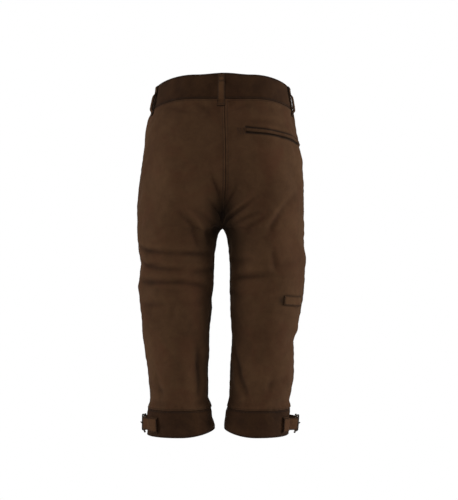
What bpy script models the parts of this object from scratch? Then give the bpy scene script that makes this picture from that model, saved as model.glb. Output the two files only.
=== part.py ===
"""Worn leather knee breeches, standing hollow as if filled by their wearer.

Metres, +Z up. The front faces -Y and the wearer's left is +X. The origin is the middle of
the waist, at half the waistband's height. Four leather panels, a two-part waistband and two
knee cuffs are walls that follow one body surface. Everything sewn on is made from that
surface's own points, moved out.
"""

import math
from collections import namedtuple

import bmesh
import bpy
from mathutils import Vector

MM = 0.001
LEFT, RIGHT = 1, -1

# Leather and seams, in millimetres
PANEL_WALL = 2.0
BAND_WALL = 3.2
BAND_PROUD = 0.8
SEAM_GAP = 0.3
MOST_MITRE = 2.6

# The waistband laps at the front, left over right, and is buttoned there
LAP = 26.0
UNDERLAP = 16.0
BUTTON_RADIUS = 8.5
BUTTON_THICKNESS = 3.4
BUTTON_SETBACK = 3.0
FLY_WIDTH = 36.0
FLY_LAP = 5.0
FLY_END = -180.0

# Belt loops: strips sewn down at both ends that stand off for a belt between
LOOP_WIDTH = 15.0
LOOP_WALL = 2.4
LOOP_TOP = 9.0
LOOP_BOTTOM = -51.0
LOOP_SEWN = 14.0
LOOP_FOOT = 6.0

# The back pocket's welt and the knife pocket's flap
WELT_WALL = 2.2
WELT_HEIGHT = 7.0
FLAP_WALL = 2.0
FLAP_HEIGHT = 19.0

# Knee straps, with a keeper and a buckle
STRAP_MIDDLE = -686.0
STRAP_HEIGHT = 26.0
STRAP_WALL = 2.6
TAB_WALL = 1.8
TAB_SEWN = 16.0
CUFF_OPENING = 0.06
KEEPER_WIDTH = 28.0
KEEPER_HEIGHT = 33.0
KEEPER_WALL = 2.0
BUCKLE_WIDTH = 23.0
BUCKLE_HEIGHT = 36.0
BUCKLE_WIRE = 3.4
BUCKLE_CORNER = 5.0
PRONG_WIRE = 2.6
# The buckle's upright bars lie this far from its middle
BUCKLE_BAR = (BUCKLE_WIDTH - BUCKLE_WIRE) / 2
# The tab that holds it goes between its level bars
TAB_HEIGHT = BUCKLE_HEIGHT - 2 * BUCKLE_WIRE - 4
# Where the strap and the tab leave the cuff, from the buckle, and where they lie on it
STRAP_LIFTS = -52.0
TAB_LIFTS = -6.0
ON_CUFF = BAND_PROUD + SEAM_GAP

# Heights along the side seam, in millimetres
HEM = -710.0
CUFF_SEAM = -655.0
CROTCH = -280.0
WAIST_SEAM = -37.0
WAIST_TOP = 12.0

BAND_MIDDLE = (WAIST_SEAM + WAIST_TOP) / 2

# How square the rings are: 2 is an ellipse
RING_SQUARENESS = 2.15
# The height over which the cleft of the seat closes into a smooth back and front
CLEFT_HEIGHT = 92.0

# One row for each section, from the hem up. left and right are the two side seams' distances
# from the middle, back and front the depths of the fullest places, apex the share of the way
# from the inner edge to the side where that fullest place lies.
Section = namedtuple("Section", "height left right side back front apex")
SECTIONS = [
    Section(-712, 158, 137, 4, 75, -63, 0.50),
    Section(-690, 156, 138, 4, 73, -63, 0.50),
    Section(-665, 156, 140, 4, 72, -64, 0.50),
    Section(-651, 155, 141, 4, 73, -66, 0.50),
    Section(-641, 152, 139, 4, 73, -68, 0.50),
    Section(-626, 151, 142, 4, 75, -72, 0.50),
    Section(-605, 153, 146, 4, 77, -77, 0.50),
    Section(-584, 155, 149, 4, 79, -82, 0.50),
    Section(-552, 159, 149, 4, 81, -88, 0.50),
    Section(-521, 164, 149, 4, 84, -92, 0.50),
    Section(-504, 166, 150, 4, 86, -94, 0.50),
    Section(-489, 167, 155, 4, 88, -96, 0.50),
    Section(-468, 169, 160, 4, 90, -98, 0.50),
    Section(-447, 171, 164, 4, 93, -100, 0.50),
    Section(-426, 173, 168, 3, 96, -102, 0.50),
    Section(-405, 174, 170, 3, 99, -104, 0.50),
    Section(-378, 173, 172, 3, 103, -106, 0.50),
    Section(-353, 170, 172, 3, 108, -108, 0.50),
    Section(-321, 176, 171, 2, 114, -110, 0.50),
    Section(-290, 178, 169, 2, 120, -112, 0.50),
    Section(-248, 178, 170, 1, 129, -116, 0.50),
    Section(-216, 176, 170, 0, 134, -118, 0.49),
    Section(-185, 174, 169, 0, 137, -119, 0.48),
    Section(-143, 168, 166, 0, 136, -119, 0.46),
    Section(-122, 165, 163, 0, 133, -118, 0.45),
    Section(-97, 161, 158, 0, 129, -117, 0.44),
    Section(-80, 159, 154, 0, 125, -115, 0.43),
    Section(-59, 156, 151, 0, 120, -113, 0.42),
    Section(-32, 147, 146, 0, 112, -110, 0.40),
    Section(-8, 142, 142, 0, 109, -108, 0.40),
    Section(22, 138, 138, 0, 105, -105, 0.40),
]

# The inner leg seams, from the hem to the crotch
Inseam = namedtuple("Inseam", "height left right depth")
INSEAMS = [
    Inseam(-712, 16, 4, 6),
    Inseam(-695, 18, 5, 6),
    Inseam(-678, 23, 7, 6),
    Inseam(-657, 24, 10, 6),
    Inseam(-646, 26, 12, 6),
    Inseam(-632, 31, 15, 6),
    Inseam(-573, 31, 17, 6),
    Inseam(-531, 28, 19, 5),
    Inseam(-500, 28, 21, 5),
    Inseam(-468, 25, 19, 4),
    Inseam(-447, 23, 18, 4),
    Inseam(-428, 24, 17, 3),
    Inseam(-405, 20, 16, 3),
    Inseam(-363, 18, 16, 2),
    Inseam(-342, 18, 15, 2),
    Inseam(-321, 15, 13, 1),
    Inseam(-300, 12, 10, 1),
    Inseam(-292, 10, 8, 0),
    Inseam(-285, 6, 5, 0),
    Inseam(CROTCH, 0, 0, 0),
]

# The centre seams over the crotch: a U from front to back, then up to the waist. sway is how
# far the back one wanders to the wearer's right.
Rise = namedtuple("Rise", "height back front sway")
RISES = [
    Rise(CROTCH, 0, 0, 0),
    Rise(-277.5, 24, -22, 0),
    Rise(-271, 41, -39, 0),
    Rise(-258, 60, -58, 1),
    Rise(-242, 79, -76, 2),
    Rise(-226, 97, -92, 4),
    Rise(-206, 114, -105, 6),
    Rise(-185, 126, -112, 7),
    Rise(-160, 132, -116, 7),
    Rise(-130, 132, -117, 7),
    Rise(-97, 127, -116, 6),
    Rise(-59, 118, -112.5, 5),
    Rise(WAIST_SEAM, 111.5, -110, 5),
    Rise(22, 105, -105, 5),
]

# How far the back, the front and the inner edge of a section lie above its side. Above the
# crotch, inner is how much further up the centre back lies.
Tilt = namedtuple("Tilt", "height back front inner")
TILTS = [
    Tilt(-712, 0, 3, 12),
    Tilt(-655, 0, 0, 1),
    Tilt(-600, 0, 0, 0),
    Tilt(-235, 0, 0, 0),
    Tilt(-180, 4, -2, 0),
    Tilt(-100, 11, -5, 0),
    Tilt(WAIST_SEAM, 17, -8, 0),
    Tilt(22, 18, -8, 4.5),
]

# Rows of the panels: evenly spaced inside each band of heights, closest at the creases
RowBand = namedtuple("RowBand", "low high rows")
PANEL_ROWS = [
    RowBand(CUFF_SEAM, -640, 1),
    RowBand(-640, -450, 10),
    RowBand(-450, -320, 12),
    RowBand(-320, CROTCH, 3),
    RowBand(CROTCH, -256, 3),
    RowBand(-256, -49, 12),
    RowBand(-49, WAIST_SEAM, 1),
]
BACK_COLUMNS = 15
FRONT_COLUMNS = 11
BAND_ROWS = 3
STRAP_EDGES = [STRAP_MIDDLE - STRAP_HEIGHT / 2, STRAP_MIDDLE, STRAP_MIDDLE + STRAP_HEIGHT / 2]
CUFF_HEIGHTS = [HEM, *STRAP_EDGES, CUFF_SEAM]
CUFF_COLUMNS = 32

# Where the belt loops lie, and how far each stands off the band for the belt
Place = namedtuple("Place", "name side around slack")
BELT_LOOPS = [
    Place("belt_loop_back", LEFT, 1.88, 6.6),
    Place("belt_loop_side_left", LEFT, 0.27, 4.6),
    Place("belt_loop_side_right", RIGHT, 0.23, 4.6),
    Place("belt_loop_front_left", LEFT, -1.22, 6.6),
    Place("belt_loop_front_right", RIGHT, -1.22, 6.6),
]
# The middle line of a strip, from its rear end forward
Route = namedtuple("Route", "around height")
POCKET_MOUTH = [Route(1.36, -95), Route(0.98, -97.5), Route(0.52, -101.5), Route(-0.10, -104)]
KNIFE_FLAP = [Route(0.74, -427), Route(0.30, -431.5), Route(0.16, -432)]
# The buckles lie at the sides. stand is how far the slack strap carries a buckle's middle off
# the cuff, and lean how much further out its front bar is than its rear bar. The strap runs
# from its sewn start to its tip, both in millimetres from the buckle.
Knee = namedtuple("Knee", "name side buckle stand lean keeper start tip")
KNEES = [
    Knee("left", LEFT, 0.04, 8.8, 6.0, 54, -92, 60),
    Knee("right", RIGHT, 0.02, 17.5, 7.0, 43.5, -92, 50),
]
# Where a strip's inner face lies: a distance along it and how far out it is there
Stand = namedtuple("Stand", "at out")


def pchip(table, column, height):
    """The table's column at this height, on a smooth line that never overshoots its rows."""
    last = len(table) - 1
    height = min(max(height, table[0].height), table[last].height)
    k = 0
    while k < last - 1 and height > table[k + 1].height:
        k += 1

    def slope(i):
        return (getattr(table[i + 1], column) - getattr(table[i], column)) / (
            table[i + 1].height - table[i].height
        )

    def tangent(i):
        if i in (0, last):
            return slope(0 if i == 0 else last - 1)
        before, after = slope(i - 1), slope(i)
        return 0.0 if before * after <= 0 else 2 * before * after / (before + after)

    step = table[k + 1].height - table[k].height
    t = (height - table[k].height) / step
    start, end = getattr(table[k], column), getattr(table[k + 1], column)
    return (
        (2 * t**3 - 3 * t**2 + 1) * start
        + (t**3 - 2 * t**2 + t) * step * tangent(k)
        + (3 * t**2 - 2 * t**3) * end
        + (t**3 - t**2) * step * tangent(k + 1)
    )


def smooth(t):
    """0 to 1, level at both ends."""
    t = min(max(t, 0.0), 1.0)
    return t * t * (3 - 2 * t)


def body(side, around, height):
    """A point of the smooth body surface, in millimetres. around runs from -2 at the front
    centre seam or inseam, over the side seam at 0, to 2 at the back one."""
    outline = "left" if side == LEFT else "right"
    rear = around > 0
    outer = pchip(SECTIONS, outline, height)
    side_y = pchip(SECTIONS, "side", height)
    apex_y = pchip(SECTIONS, "back" if rear else "front", height)
    if height <= CROTCH:
        inner_x = pchip(INSEAMS, outline, height)
        inner_y = pchip(INSEAMS, "depth", height)
        closing = 0.0
    else:
        inner_x = -side * pchip(RISES, "sway", height) if rear else 0.0
        inner_y = pchip(RISES, "back" if rear else "front", height)
        closing = smooth((height - CROTCH) / CLEFT_HEIGHT)
    apex_x = inner_x + (outer - inner_x) * pchip(SECTIONS, "apex", height)
    power = 2 / RING_SQUARENESS
    lift = pchip(TILTS, "back" if rear else "front", height)
    share = abs(around)
    if share <= 1:
        turn = share * math.pi / 2
        x = apex_x + (outer - apex_x) * max(math.cos(turn), 0.0) ** power
        y = side_y + (apex_y - side_y) * math.sin(turn) ** power
        z = height + lift * smooth(share)
    else:
        t = min(share - 1, 1.0)
        turn = t * math.pi / 2
        round_x = apex_x + (inner_x - apex_x) * math.sin(turn) ** power
        round_y = inner_y + (apex_y - inner_y) * max(math.cos(turn), 0.0) ** power
        level_x = apex_x + (inner_x - apex_x) * t
        level_y = apex_y + (inner_y - apex_y) * smooth(t)
        x = round_x + (level_x - round_x) * closing
        y = round_y + (level_y - round_y) * closing
        end = pchip(TILTS, "inner", height)
        if height > CROTCH:
            end = lift + (end if rear else 0.0)
        z = height + lift + (end - lift) * smooth(t)
    return Vector((side * x, y, z))


def facing(side, around, height):
    """The outward normal of the smooth body surface."""
    reach, climb = 0.02, 2.0

    def one_sided(a):
        low = max(a - reach, -2.0)
        high = min(a + reach, 2.0)
        below, above = height - climb, height + climb
        if height <= CROTCH:
            above = min(above, CROTCH)
        else:
            below = max(below, CROTCH + 0.01)
        across = body(side, high, height) - body(side, low, height)
        up = body(side, a, above) - body(side, a, below)
        normal = across.cross(up) * side
        return normal.normalized()

    if abs(around) < 2:
        return one_sided(around)
    if height < CROTCH:
        return (one_sided(2.0) + one_sided(-2.0)).normalized()
    if height == CROTCH:
        return Vector((0, 0, -1))
    rear = around > 0
    column = "back" if rear else "front"
    above = min(height + climb, RISES[-1].height)
    below = max(height - climb, CROTCH)
    run = pchip(RISES, column, above) - pchip(RISES, column, below)
    normal = Vector((0, above - below, -run))
    return (normal if rear else -normal).normalized()


# The largest folds, as soft troughs with a raised lip. Each runs from one place to another on
# a leg, given as around and height, and has a width, a depth and a bow, all in millimetres.
Fold = namedtuple("Fold", "side around height to_around to_height width depth bow")
FOLDS = [
    # drag lines under the waistband
    Fold(LEFT, 0.50, -44, 1.05, -64, 8, 2.4, 0),
    Fold(LEFT, 0.95, -43, 1.65, -66, 8, 2.4, 0),
    # the seat gathers towards the crotch
    Fold(LEFT, 1.04, -250, 1.36, -318, 9, 4.5, 3),
    Fold(LEFT, 1.26, -250, 1.76, -294, 8, 3.6, 0),
    Fold(LEFT, 1.66, -180, 1.96, -246, 8, 3.8, 0),
    Fold(RIGHT, 1.22, -220, 1.84, -274, 9, 5.0, 0),
    Fold(RIGHT, 0.98, -248, 1.52, -272, 8, 3.6, 0),
    Fold(RIGHT, 0.60, -222, 0.99, -304, 9, 4.5, 4),
    Fold(RIGHT, 0.90, -254, 1.38, -302, 8, 3.6, 0),
    # creases behind the knees
    Fold(LEFT, 0.12, -316, 0.98, -333, 8, 5.0, -2),
    Fold(LEFT, 0.84, -334, 1.66, -337, 8, 4.4, 0),
    Fold(LEFT, 0.08, -348, 1.18, -369, 8, 4.6, -2),
    Fold(LEFT, 1.20, -371, 1.92, -371, 8, 3.4, 0),
    Fold(LEFT, 0.10, -389, 1.14, -391, 9, 5.0, -2),
    Fold(LEFT, 0.98, -390, 1.64, -404, 8, 4.0, 0),
    Fold(LEFT, 0.16, -436, 0.92, -438, 9, 3.0, 0),
    Fold(RIGHT, 0.92, -318, 0.90, -368, 7, 3.0, 0),
    Fold(RIGHT, 0.90, -379, 1.80, -386, 9, 4.2, 2),
    # hollows down the calves, and a dent at the right side
    Fold(LEFT, 1.44, -512, 1.52, -640, 13, 5.0, 4),
    Fold(RIGHT, 1.72, -520, 1.18, -636, 11, 5.0, 4),
    Fold(RIGHT, -0.40, -505, 0.55, -522, 12, 4.0, 0),
    # the front: pulls at the crotch, and creases over the knees
    Fold(LEFT, -1.92, -224, -1.10, -172, 8, 3.6, 3),
    Fold(LEFT, -1.86, -262, -0.96, -250, 9, 4.2, -3),
    Fold(LEFT, -1.62, -300, -0.84, -336, 8, 3.6, 0),
    Fold(RIGHT, -1.94, -210, -1.22, -164, 8, 3.4, 0),
    Fold(RIGHT, -1.84, -252, -0.90, -228, 9, 4.4, 3),
    Fold(RIGHT, -1.70, -290, -0.98, -318, 8, 3.6, 0),
    Fold(LEFT, -1.46, -424, -0.44, -436, 10, 3.6, 4),
    Fold(LEFT, -1.30, -566, -0.28, -552, 10, 3.8, -3),
    Fold(LEFT, -1.72, -610, -1.06, -628, 9, 3.0, 0),
    Fold(RIGHT, -1.60, -446, -0.56, -432, 10, 3.6, 3),
    Fold(RIGHT, -1.40, -580, -0.36, -592, 10, 4.0, 3),
    Fold(RIGHT, -0.80, -622, -0.14, -606, 9, 3.0, 0),
]

# One step of around is about this many millimetres of leather
AROUND_MM = 112.0
# Each fold's raised lip: its share of the depth, and its place and width in fold widths
LIP_SHARE = 0.45
LIP_AT = 1.9
LIP_WIDTH = 1.2
# Folds run out this close to the centre seams, the cuff seam and the waist seam
CENTRE_FADE = 0.14
CUFF_FADE = 14.0
WAIST_FADE = 12.0


def fold_offset(side, around, height):
    """How far the folds push the leather out (above 0) or in at this place, in millimetres."""
    total = 0.0
    for fold in FOLDS:
        if fold.side != side:
            continue
        start = Vector((fold.around * AROUND_MM, fold.height))
        end = Vector((fold.to_around * AROUND_MM, fold.to_height))
        along = end - start
        here = Vector((around * AROUND_MM, height)) - start
        t = here.dot(along) / along.length_squared
        if not -0.05 < t < 1.05:
            continue
        taper = math.sin(math.pi * min(max(t, 0.0), 1.0)) ** 0.7
        across = along.normalized()
        offset = across.x * here.y - across.y * here.x - fold.bow * math.sin(math.pi * t)
        trough = math.exp(-((offset / fold.width) ** 2))
        lip = math.exp(-((((offset / fold.width) - LIP_AT) / LIP_WIDTH) ** 2))
        total += taper * fold.depth * (LIP_SHARE * lip - trough)
    edges = smooth((2 - abs(around)) / CENTRE_FADE)
    edges *= smooth((height - CUFF_SEAM) / CUFF_FADE) * smooth((WAIST_SEAM - height) / WAIST_FADE)
    return total * edges


def leather(side, around, height, out=0.0):
    """A place on the folded leather, this far out from its outer face, in millimetres."""
    normal = facing(side, around, height)
    push = out + fold_offset(side, around, height)
    return body(side, around, height) + normal * push


def spread(low, high, count):
    """count + 1 even steps from low to high."""
    return [low + (high - low) * i / count for i in range(count + 1)]


def trimmed(grid, left=True, right=True, bottom=True, top=True):
    """The grid with its chosen edges drawn back by half the seam gap."""
    half = SEAM_GAP / 2
    grid = [list(row) for row in grid]
    for edge, beside, wanted in ((0, 1, left), (-1, -2, right)):
        if wanted:
            for row in grid:
                row[edge] = row[edge] + (row[beside] - row[edge]).normalized() * half
    for edge, beside, wanted in ((0, 1, bottom), (-1, -2, top)):
        if wanted:
            inward = [b - a for a, b in zip(grid[edge], grid[beside])]
            grid[edge] = [a + d.normalized() * half for a, d in zip(grid[edge], inward)]
    return grid


def wall(name, outer, inner, material):
    """One closed wall between two grids of points that have the same rows and columns."""
    rows, columns = len(outer), len(outer[0])
    bm = bmesh.new()
    bmesh.ops.create_grid(bm, x_segments=columns - 1, y_segments=rows - 1, size=0.5)
    made = bmesh.ops.extrude_face_region(bm, geom=bm.faces[:], use_keep_orig=True)
    inside = {v for v in made["geom"] if isinstance(v, bmesh.types.BMVert)}
    for vertex in bm.verts:
        column = round((vertex.co.x + 0.5) * (columns - 1))
        row = round((vertex.co.y + 0.5) * (rows - 1))
        grid = inner if vertex in inside else outer
        vertex.co = grid[row][column] * MM
    bmesh.ops.recalc_face_normals(bm, faces=bm.faces[:])
    if bm.calc_volume(signed=True) < 0:
        bmesh.ops.reverse_faces(bm, faces=bm.faces[:])
    return finish(name, bm, material)


def finish(name, bm, material):
    """The bmesh as a named object, smooth but for its edges."""
    mesh = bpy.data.meshes.new(name)
    bm.to_mesh(mesh)
    bm.free()
    mesh.shade_smooth()
    mesh.set_sharp_from_angle(angle=math.radians(50))
    mesh.materials.append(material)
    obj = bpy.data.objects.new(name, mesh)
    PARTS.objects.link(obj)
    return obj


def surface_finish(name, colour, roughness, metallic=0.0):
    """A Principled material of this colour."""
    material = bpy.data.materials.new(name)
    material.use_nodes = True
    shader = material.node_tree.nodes["Principled BSDF"]
    shader.inputs["Base Color"].default_value = (*colour, 1)
    shader.inputs["Roughness"].default_value = roughness
    shader.inputs["Metallic"].default_value = metallic
    material.diffuse_color = (*colour, 1)
    return material


def panel_heights():
    heights = [PANEL_ROWS[0].low]
    for band in PANEL_ROWS:
        heights += spread(band.low, band.high, band.rows)[1:]
    return heights


def panel_columns():
    return sorted({*spread(-2, 0, FRONT_COLUMNS), *spread(0, 2, BACK_COLUMNS)})


def panel(name, side, arounds, material):
    """A quarter of the breeches: from one side seam to the inseam and the centre seam."""
    outer, inner = [], []
    for height in panel_heights():
        outer_row, inner_row = [], []
        for around in arounds:
            place = leather(side, around, height)
            normal = facing(side, around, height)
            depth = PANEL_WALL
            if abs(around) == 2 and height >= CROTCH:
                beside = facing(side, around * 0.97, height)
                depth *= min(1 / max(normal.dot(beside), 0.01), MOST_MITRE)
                place.x += side * SEAM_GAP / 2
            outer_row.append(place)
            inner_row.append(place - normal * depth)
        outer.append(outer_row)
        inner.append(inner_row)
    return wall(name, trimmed(outer), trimmed(inner), material)


def carried_on(side, around):
    """The same place when around runs past a centre seam on to the other side."""
    if around < -2:
        return -side, -4 - around
    if around > 2:
        return -side, 4 - around
    return side, around


def round_leg(around):
    """The same place on one leg when around runs past the inseam."""
    return (around + 2) % 4 - 2


def per_mm(side, around, height):
    """How much around changes in a millimetre along the surface."""
    reach = 0.05
    a = body(*carried_on(side, around - reach), height)
    b = body(*carried_on(side, around + reach), height)
    return 2 * reach / (b - a).length


def lying(name, places, depth, material, trim=None):
    """A wall on the leather. places is a grid of (side, around, height, out): its outer face
    is out plus depth above the leather, and its inner face is out above it."""
    outer = [[leather(s, a, h, out + depth) for s, a, h, out in row] for row in places]
    inner = [[leather(s, a, h, out) for s, a, h, out in row] for row in places]
    if trim:
        outer, inner = trimmed(outer, **trim), trimmed(inner, **trim)
    return wall(name, outer, inner, material)


def waistband(name, side, start, material):
    """One half of the waistband, from its lap at the front to the centre back. The right half
    sinks under the left one where they lap."""
    step = per_mm(side, -2, BAND_MIDDLE)
    sunk, level = -2 + (LAP + 1) * step, -2 + (LAP + 9) * step
    arounds = sorted({start, -2.0, sunk, level, *spread(-1.5, 1.5, 15), 1.68, 1.84, 2.0})
    places = []
    for height in spread(WAIST_SEAM, WAIST_TOP, BAND_ROWS):
        row = []
        for around in arounds:
            out = BAND_PROUD - BAND_WALL
            if side == RIGHT:
                out -= smooth((level - around) / (level - sunk)) * (BAND_WALL + SEAM_GAP)
            row.append((*carried_on(side, around), height, out))
        places.append(row)
    trim = {"left": False, "right": True, "bottom": True, "top": False}
    return lying(name, places, BAND_WALL, material, trim)


def belt_loop(name, side, around, slack, material):
    """A strip sewn down at both ends, standing off the band between them."""
    half = LOOP_WIDTH / 2 * per_mm(side, around, WAIST_SEAM)
    foot = LOOP_BOTTOM + LOOP_FOOT
    head = LOOP_TOP - LOOP_SEWN
    stand = slack + BAND_PROUD
    profile = [
        Stand(LOOP_BOTTOM, SEAM_GAP),
        Stand(foot, SEAM_GAP),
        Stand(foot + 4, stand * 0.72),
        Stand(foot + 9, stand),
        Stand((LOOP_BOTTOM + LOOP_TOP) / 2, stand + 0.5),
        Stand(head - 8, stand),
        Stand(head - 4, stand * 0.75),
        Stand(head, BAND_PROUD + SEAM_GAP),
        Stand(LOOP_TOP, BAND_PROUD + SEAM_GAP),
    ]
    arounds = between(around - half, around + half, panel_columns())
    places = [
        [(*carried_on(side, a), height, out) for a in arounds] for height, out in profile
    ]
    return lying(name, places, LOOP_WALL, material)


def between(start, end, breaks):
    """Steps from start to end through the breaks that lie between them."""
    low, high = min(start, end), max(start, end)
    room = (high - low) * 0.04
    inside = [b for b in breaks if low + room < b < high - room]
    return sorted([low, *inside, high])


def route_height(route, around):
    """The height at this place of a route of straight stretches."""
    k = 0
    while k < len(route) - 2 and around < route[k + 1].around:
        k += 1
    a, b = route[k], route[k + 1]
    return a.height + (b.height - a.height) * (around - a.around) / (b.around - a.around)


def ribbon(name, side, route, height, depth, material):
    """A strip of leather laid on a leg along a route, with a step at each of its columns."""
    arounds = between(route[0].around, route[-1].around, panel_columns())
    places = [
        [(side, a, route_height(route, a) + up, SEAM_GAP) for a in arounds]
        for up in spread(-height / 2, height / 2, 2)
    ]
    return lying(name, places, depth, material)


def fly(name, material):
    """The strip that closes the front, lapped past the centre seam from the left."""
    step = per_mm(LEFT, -2, FLY_END)
    column = panel_columns()[1]
    arounds = [-2 - FLY_LAP * step, -2.0, column, -2 + FLY_WIDTH * step]
    places = [
        [(*carried_on(LEFT, a), height, SEAM_GAP) for a in arounds]
        for height in panel_heights()
        if height > FLY_END
    ]
    trim = {"left": False, "right": False, "bottom": False, "top": True}
    return lying(name, places, PANEL_WALL, material, trim)


def cuff_columns(knee):
    """The cuff's columns, from its opening under the strap and round the leg to it again."""
    split = knee.buckle - CUFF_OPENING
    return [round_leg(a) for a in spread(split, split + 4, CUFF_COLUMNS)]


def cuff(knee, material):
    """A band round the end of a leg. It opens at the side, under the strap."""
    places = [
        [(knee.side, a, height, BAND_PROUD - BAND_WALL) for a in cuff_columns(knee)]
        for height in CUFF_HEIGHTS
    ]
    trim = {"left": True, "right": True, "bottom": False, "top": True}
    return lying(f"cuff_{knee.name}", places, BAND_WALL, material, trim)


def on_cuff(name, knee, profile, height, depth, material):
    """A strip round the side of a cuff. profile has its places in millimetres from the
    buckle, back along the leg, and how far out its inner face lies there."""
    step = per_mm(knee.side, knee.buckle, STRAP_MIDDLE)
    places = [
        [(knee.side, knee.buckle + at * step, STRAP_MIDDLE + up, out) for at, out in profile]
        for up in spread(-height / 2, height / 2, 2)
    ]
    return lying(f"{name}_{knee.name}", places, depth, material)


def cuff_breaks(knee, start, end):
    """Places from start to end, in millimetres from the buckle, with the cuff's columns."""
    step = per_mm(knee.side, knee.buckle, STRAP_MIDDLE)
    return between(start, end, sorted((a - knee.buckle) / step for a in cuff_columns(knee)))


def wire_out(knee, at):
    """How far out the buckle's wire lies at this distance from its middle."""
    return knee.stand - knee.lean / 2 * at / BUCKLE_BAR


def strap(knee, material):
    """The knee strap: sewn to the front of the cuff, it passes under the buckle's front bar
    and over its rear bar, and its tip lies in the keeper."""
    clear = BUCKLE_WIRE / 2 + 2 * SEAM_GAP
    under = wire_out(knee, -BUCKLE_BAR) - clear - STRAP_WALL
    over = wire_out(knee, BUCKLE_BAR) + clear
    profile = [Stand(at, ON_CUFF) for at in cuff_breaks(knee, knee.start, STRAP_LIFTS)]
    profile += [
        Stand(-38, ON_CUFF + 0.3 * (under - ON_CUFF)),
        Stand(-24, ON_CUFF + 0.8 * (under - ON_CUFF)),
        Stand(-BUCKLE_BAR - 2, under),
        Stand(-BUCKLE_BAR + 2, under),
        Stand(BUCKLE_BAR - 2, over),
        Stand(BUCKLE_BAR + 2, over),
        Stand(BUCKLE_BAR + 7, ON_CUFF + 0.72 * (over - ON_CUFF)),
        Stand(BUCKLE_BAR + 13, ON_CUFF + 0.24 * (over - ON_CUFF)),
    ]
    landing = BUCKLE_BAR + 18
    profile += [Stand(at, ON_CUFF) for at in cuff_breaks(knee, landing, knee.tip)]
    return on_cuff("knee_strap", knee, profile, STRAP_HEIGHT, STRAP_WALL, material)


def buckle_tab(knee, material):
    """The tab that holds the buckle: sewn to the cuff, it rises to the buckle's rear bar."""
    top = wire_out(knee, BUCKLE_BAR) - BUCKLE_WIRE / 2 - SEAM_GAP - TAB_WALL
    profile = [Stand(at, ON_CUFF) for at in cuff_breaks(knee, TAB_LIFTS - TAB_SEWN, TAB_LIFTS)]
    profile += [
        Stand(0, ON_CUFF + 0.3 * (top - ON_CUFF)),
        Stand(BUCKLE_BAR - 3, ON_CUFF + 0.8 * (top - ON_CUFF)),
        Stand(BUCKLE_BAR + 1, top),
    ]
    return on_cuff("buckle_tab", knee, profile, TAB_HEIGHT, TAB_WALL, material)


def keeper(knee, material):
    """The loop over the strap's tip, sewn down above and below it."""
    step = per_mm(knee.side, knee.buckle, STRAP_MIDDLE)
    half = KEEPER_WIDTH / 2
    over = ON_CUFF + STRAP_WALL + SEAM_GAP
    edge = STRAP_HEIGHT / 2 + SEAM_GAP
    foot = edge + 0.6
    profile = [
        Stand(-KEEPER_HEIGHT / 2, ON_CUFF),
        Stand(-foot, ON_CUFF),
        Stand(-edge, over),
        Stand(0, over),
        Stand(edge, over),
        Stand(foot, ON_CUFF),
        Stand(KEEPER_HEIGHT / 2, ON_CUFF),
    ]
    # a column at the strap's tip keeps the keeper clear of it
    columns = sorted([*cuff_breaks(knee, knee.keeper - half, knee.keeper + half), knee.tip])
    places = [
        [(knee.side, knee.buckle + at * step, STRAP_MIDDLE + up, out) for at in columns]
        for up, out in profile
    ]
    return lying(f"strap_keeper_{knee.name}", places, KEEPER_WALL, material)


def wire(name, points, thickness, closed, material):
    """A round metal wire through these points."""
    curve = bpy.data.curves.new(name, "CURVE")
    curve.dimensions = "3D"
    curve.bevel_depth = thickness / 2 * MM
    curve.bevel_resolution = 2
    curve.use_fill_caps = not closed
    spline = curve.splines.new("POLY")
    spline.points.add(len(points) - 1)
    for point, place in zip(spline.points, points):
        point.co = (*(place * MM), 1)
    spline.use_cyclic_u = closed
    curve.materials.append(material)
    obj = bpy.data.objects.new(name, curve)
    PARTS.objects.link(obj)
    return obj


def buckle(knee, material):
    """The rectangular frame over the strap."""
    step = per_mm(knee.side, knee.buckle, STRAP_MIDDLE)
    half_height = (BUCKLE_HEIGHT - BUCKLE_WIRE) / 2
    points = []
    for corner, (across, up) in enumerate(((1, 1), (-1, 1), (-1, -1), (1, -1))):
        for turn in spread(corner * 90, corner * 90 + 90, 3):
            angle = math.radians(turn)
            wide = across * (BUCKLE_BAR - BUCKLE_CORNER) + BUCKLE_CORNER * math.cos(angle)
            tall = up * (half_height - BUCKLE_CORNER) + BUCKLE_CORNER * math.sin(angle)
            around = knee.buckle + wide * step
            out = wire_out(knee, wide)
            points.append(leather(knee.side, around, STRAP_MIDDLE + tall, out))
    return wire(f"buckle_frame_{knee.name}", points, BUCKLE_WIRE, True, material)


def prong(knee, material):
    """The prong, from where it comes up through the strap to over the buckle's front bar."""
    step = per_mm(knee.side, knee.buckle, STRAP_MIDDLE)
    over = BUCKLE_WIRE / 2 + SEAM_GAP + PRONG_WIRE / 2
    rises = [
        Stand(2.5, over + 1.0),
        Stand(-BUCKLE_BAR / 2, over + 0.8),
        Stand(-BUCKLE_BAR, over),
        Stand(-BUCKLE_BAR - 5, over + 0.2),
    ]
    route = [Stand(at, wire_out(knee, at) + out) for at, out in rises]
    points = [
        leather(knee.side, knee.buckle + at * step, STRAP_MIDDLE, out) for at, out in route
    ]
    return wire(f"buckle_prong_{knee.name}", points, PRONG_WIRE, False, material)


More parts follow.
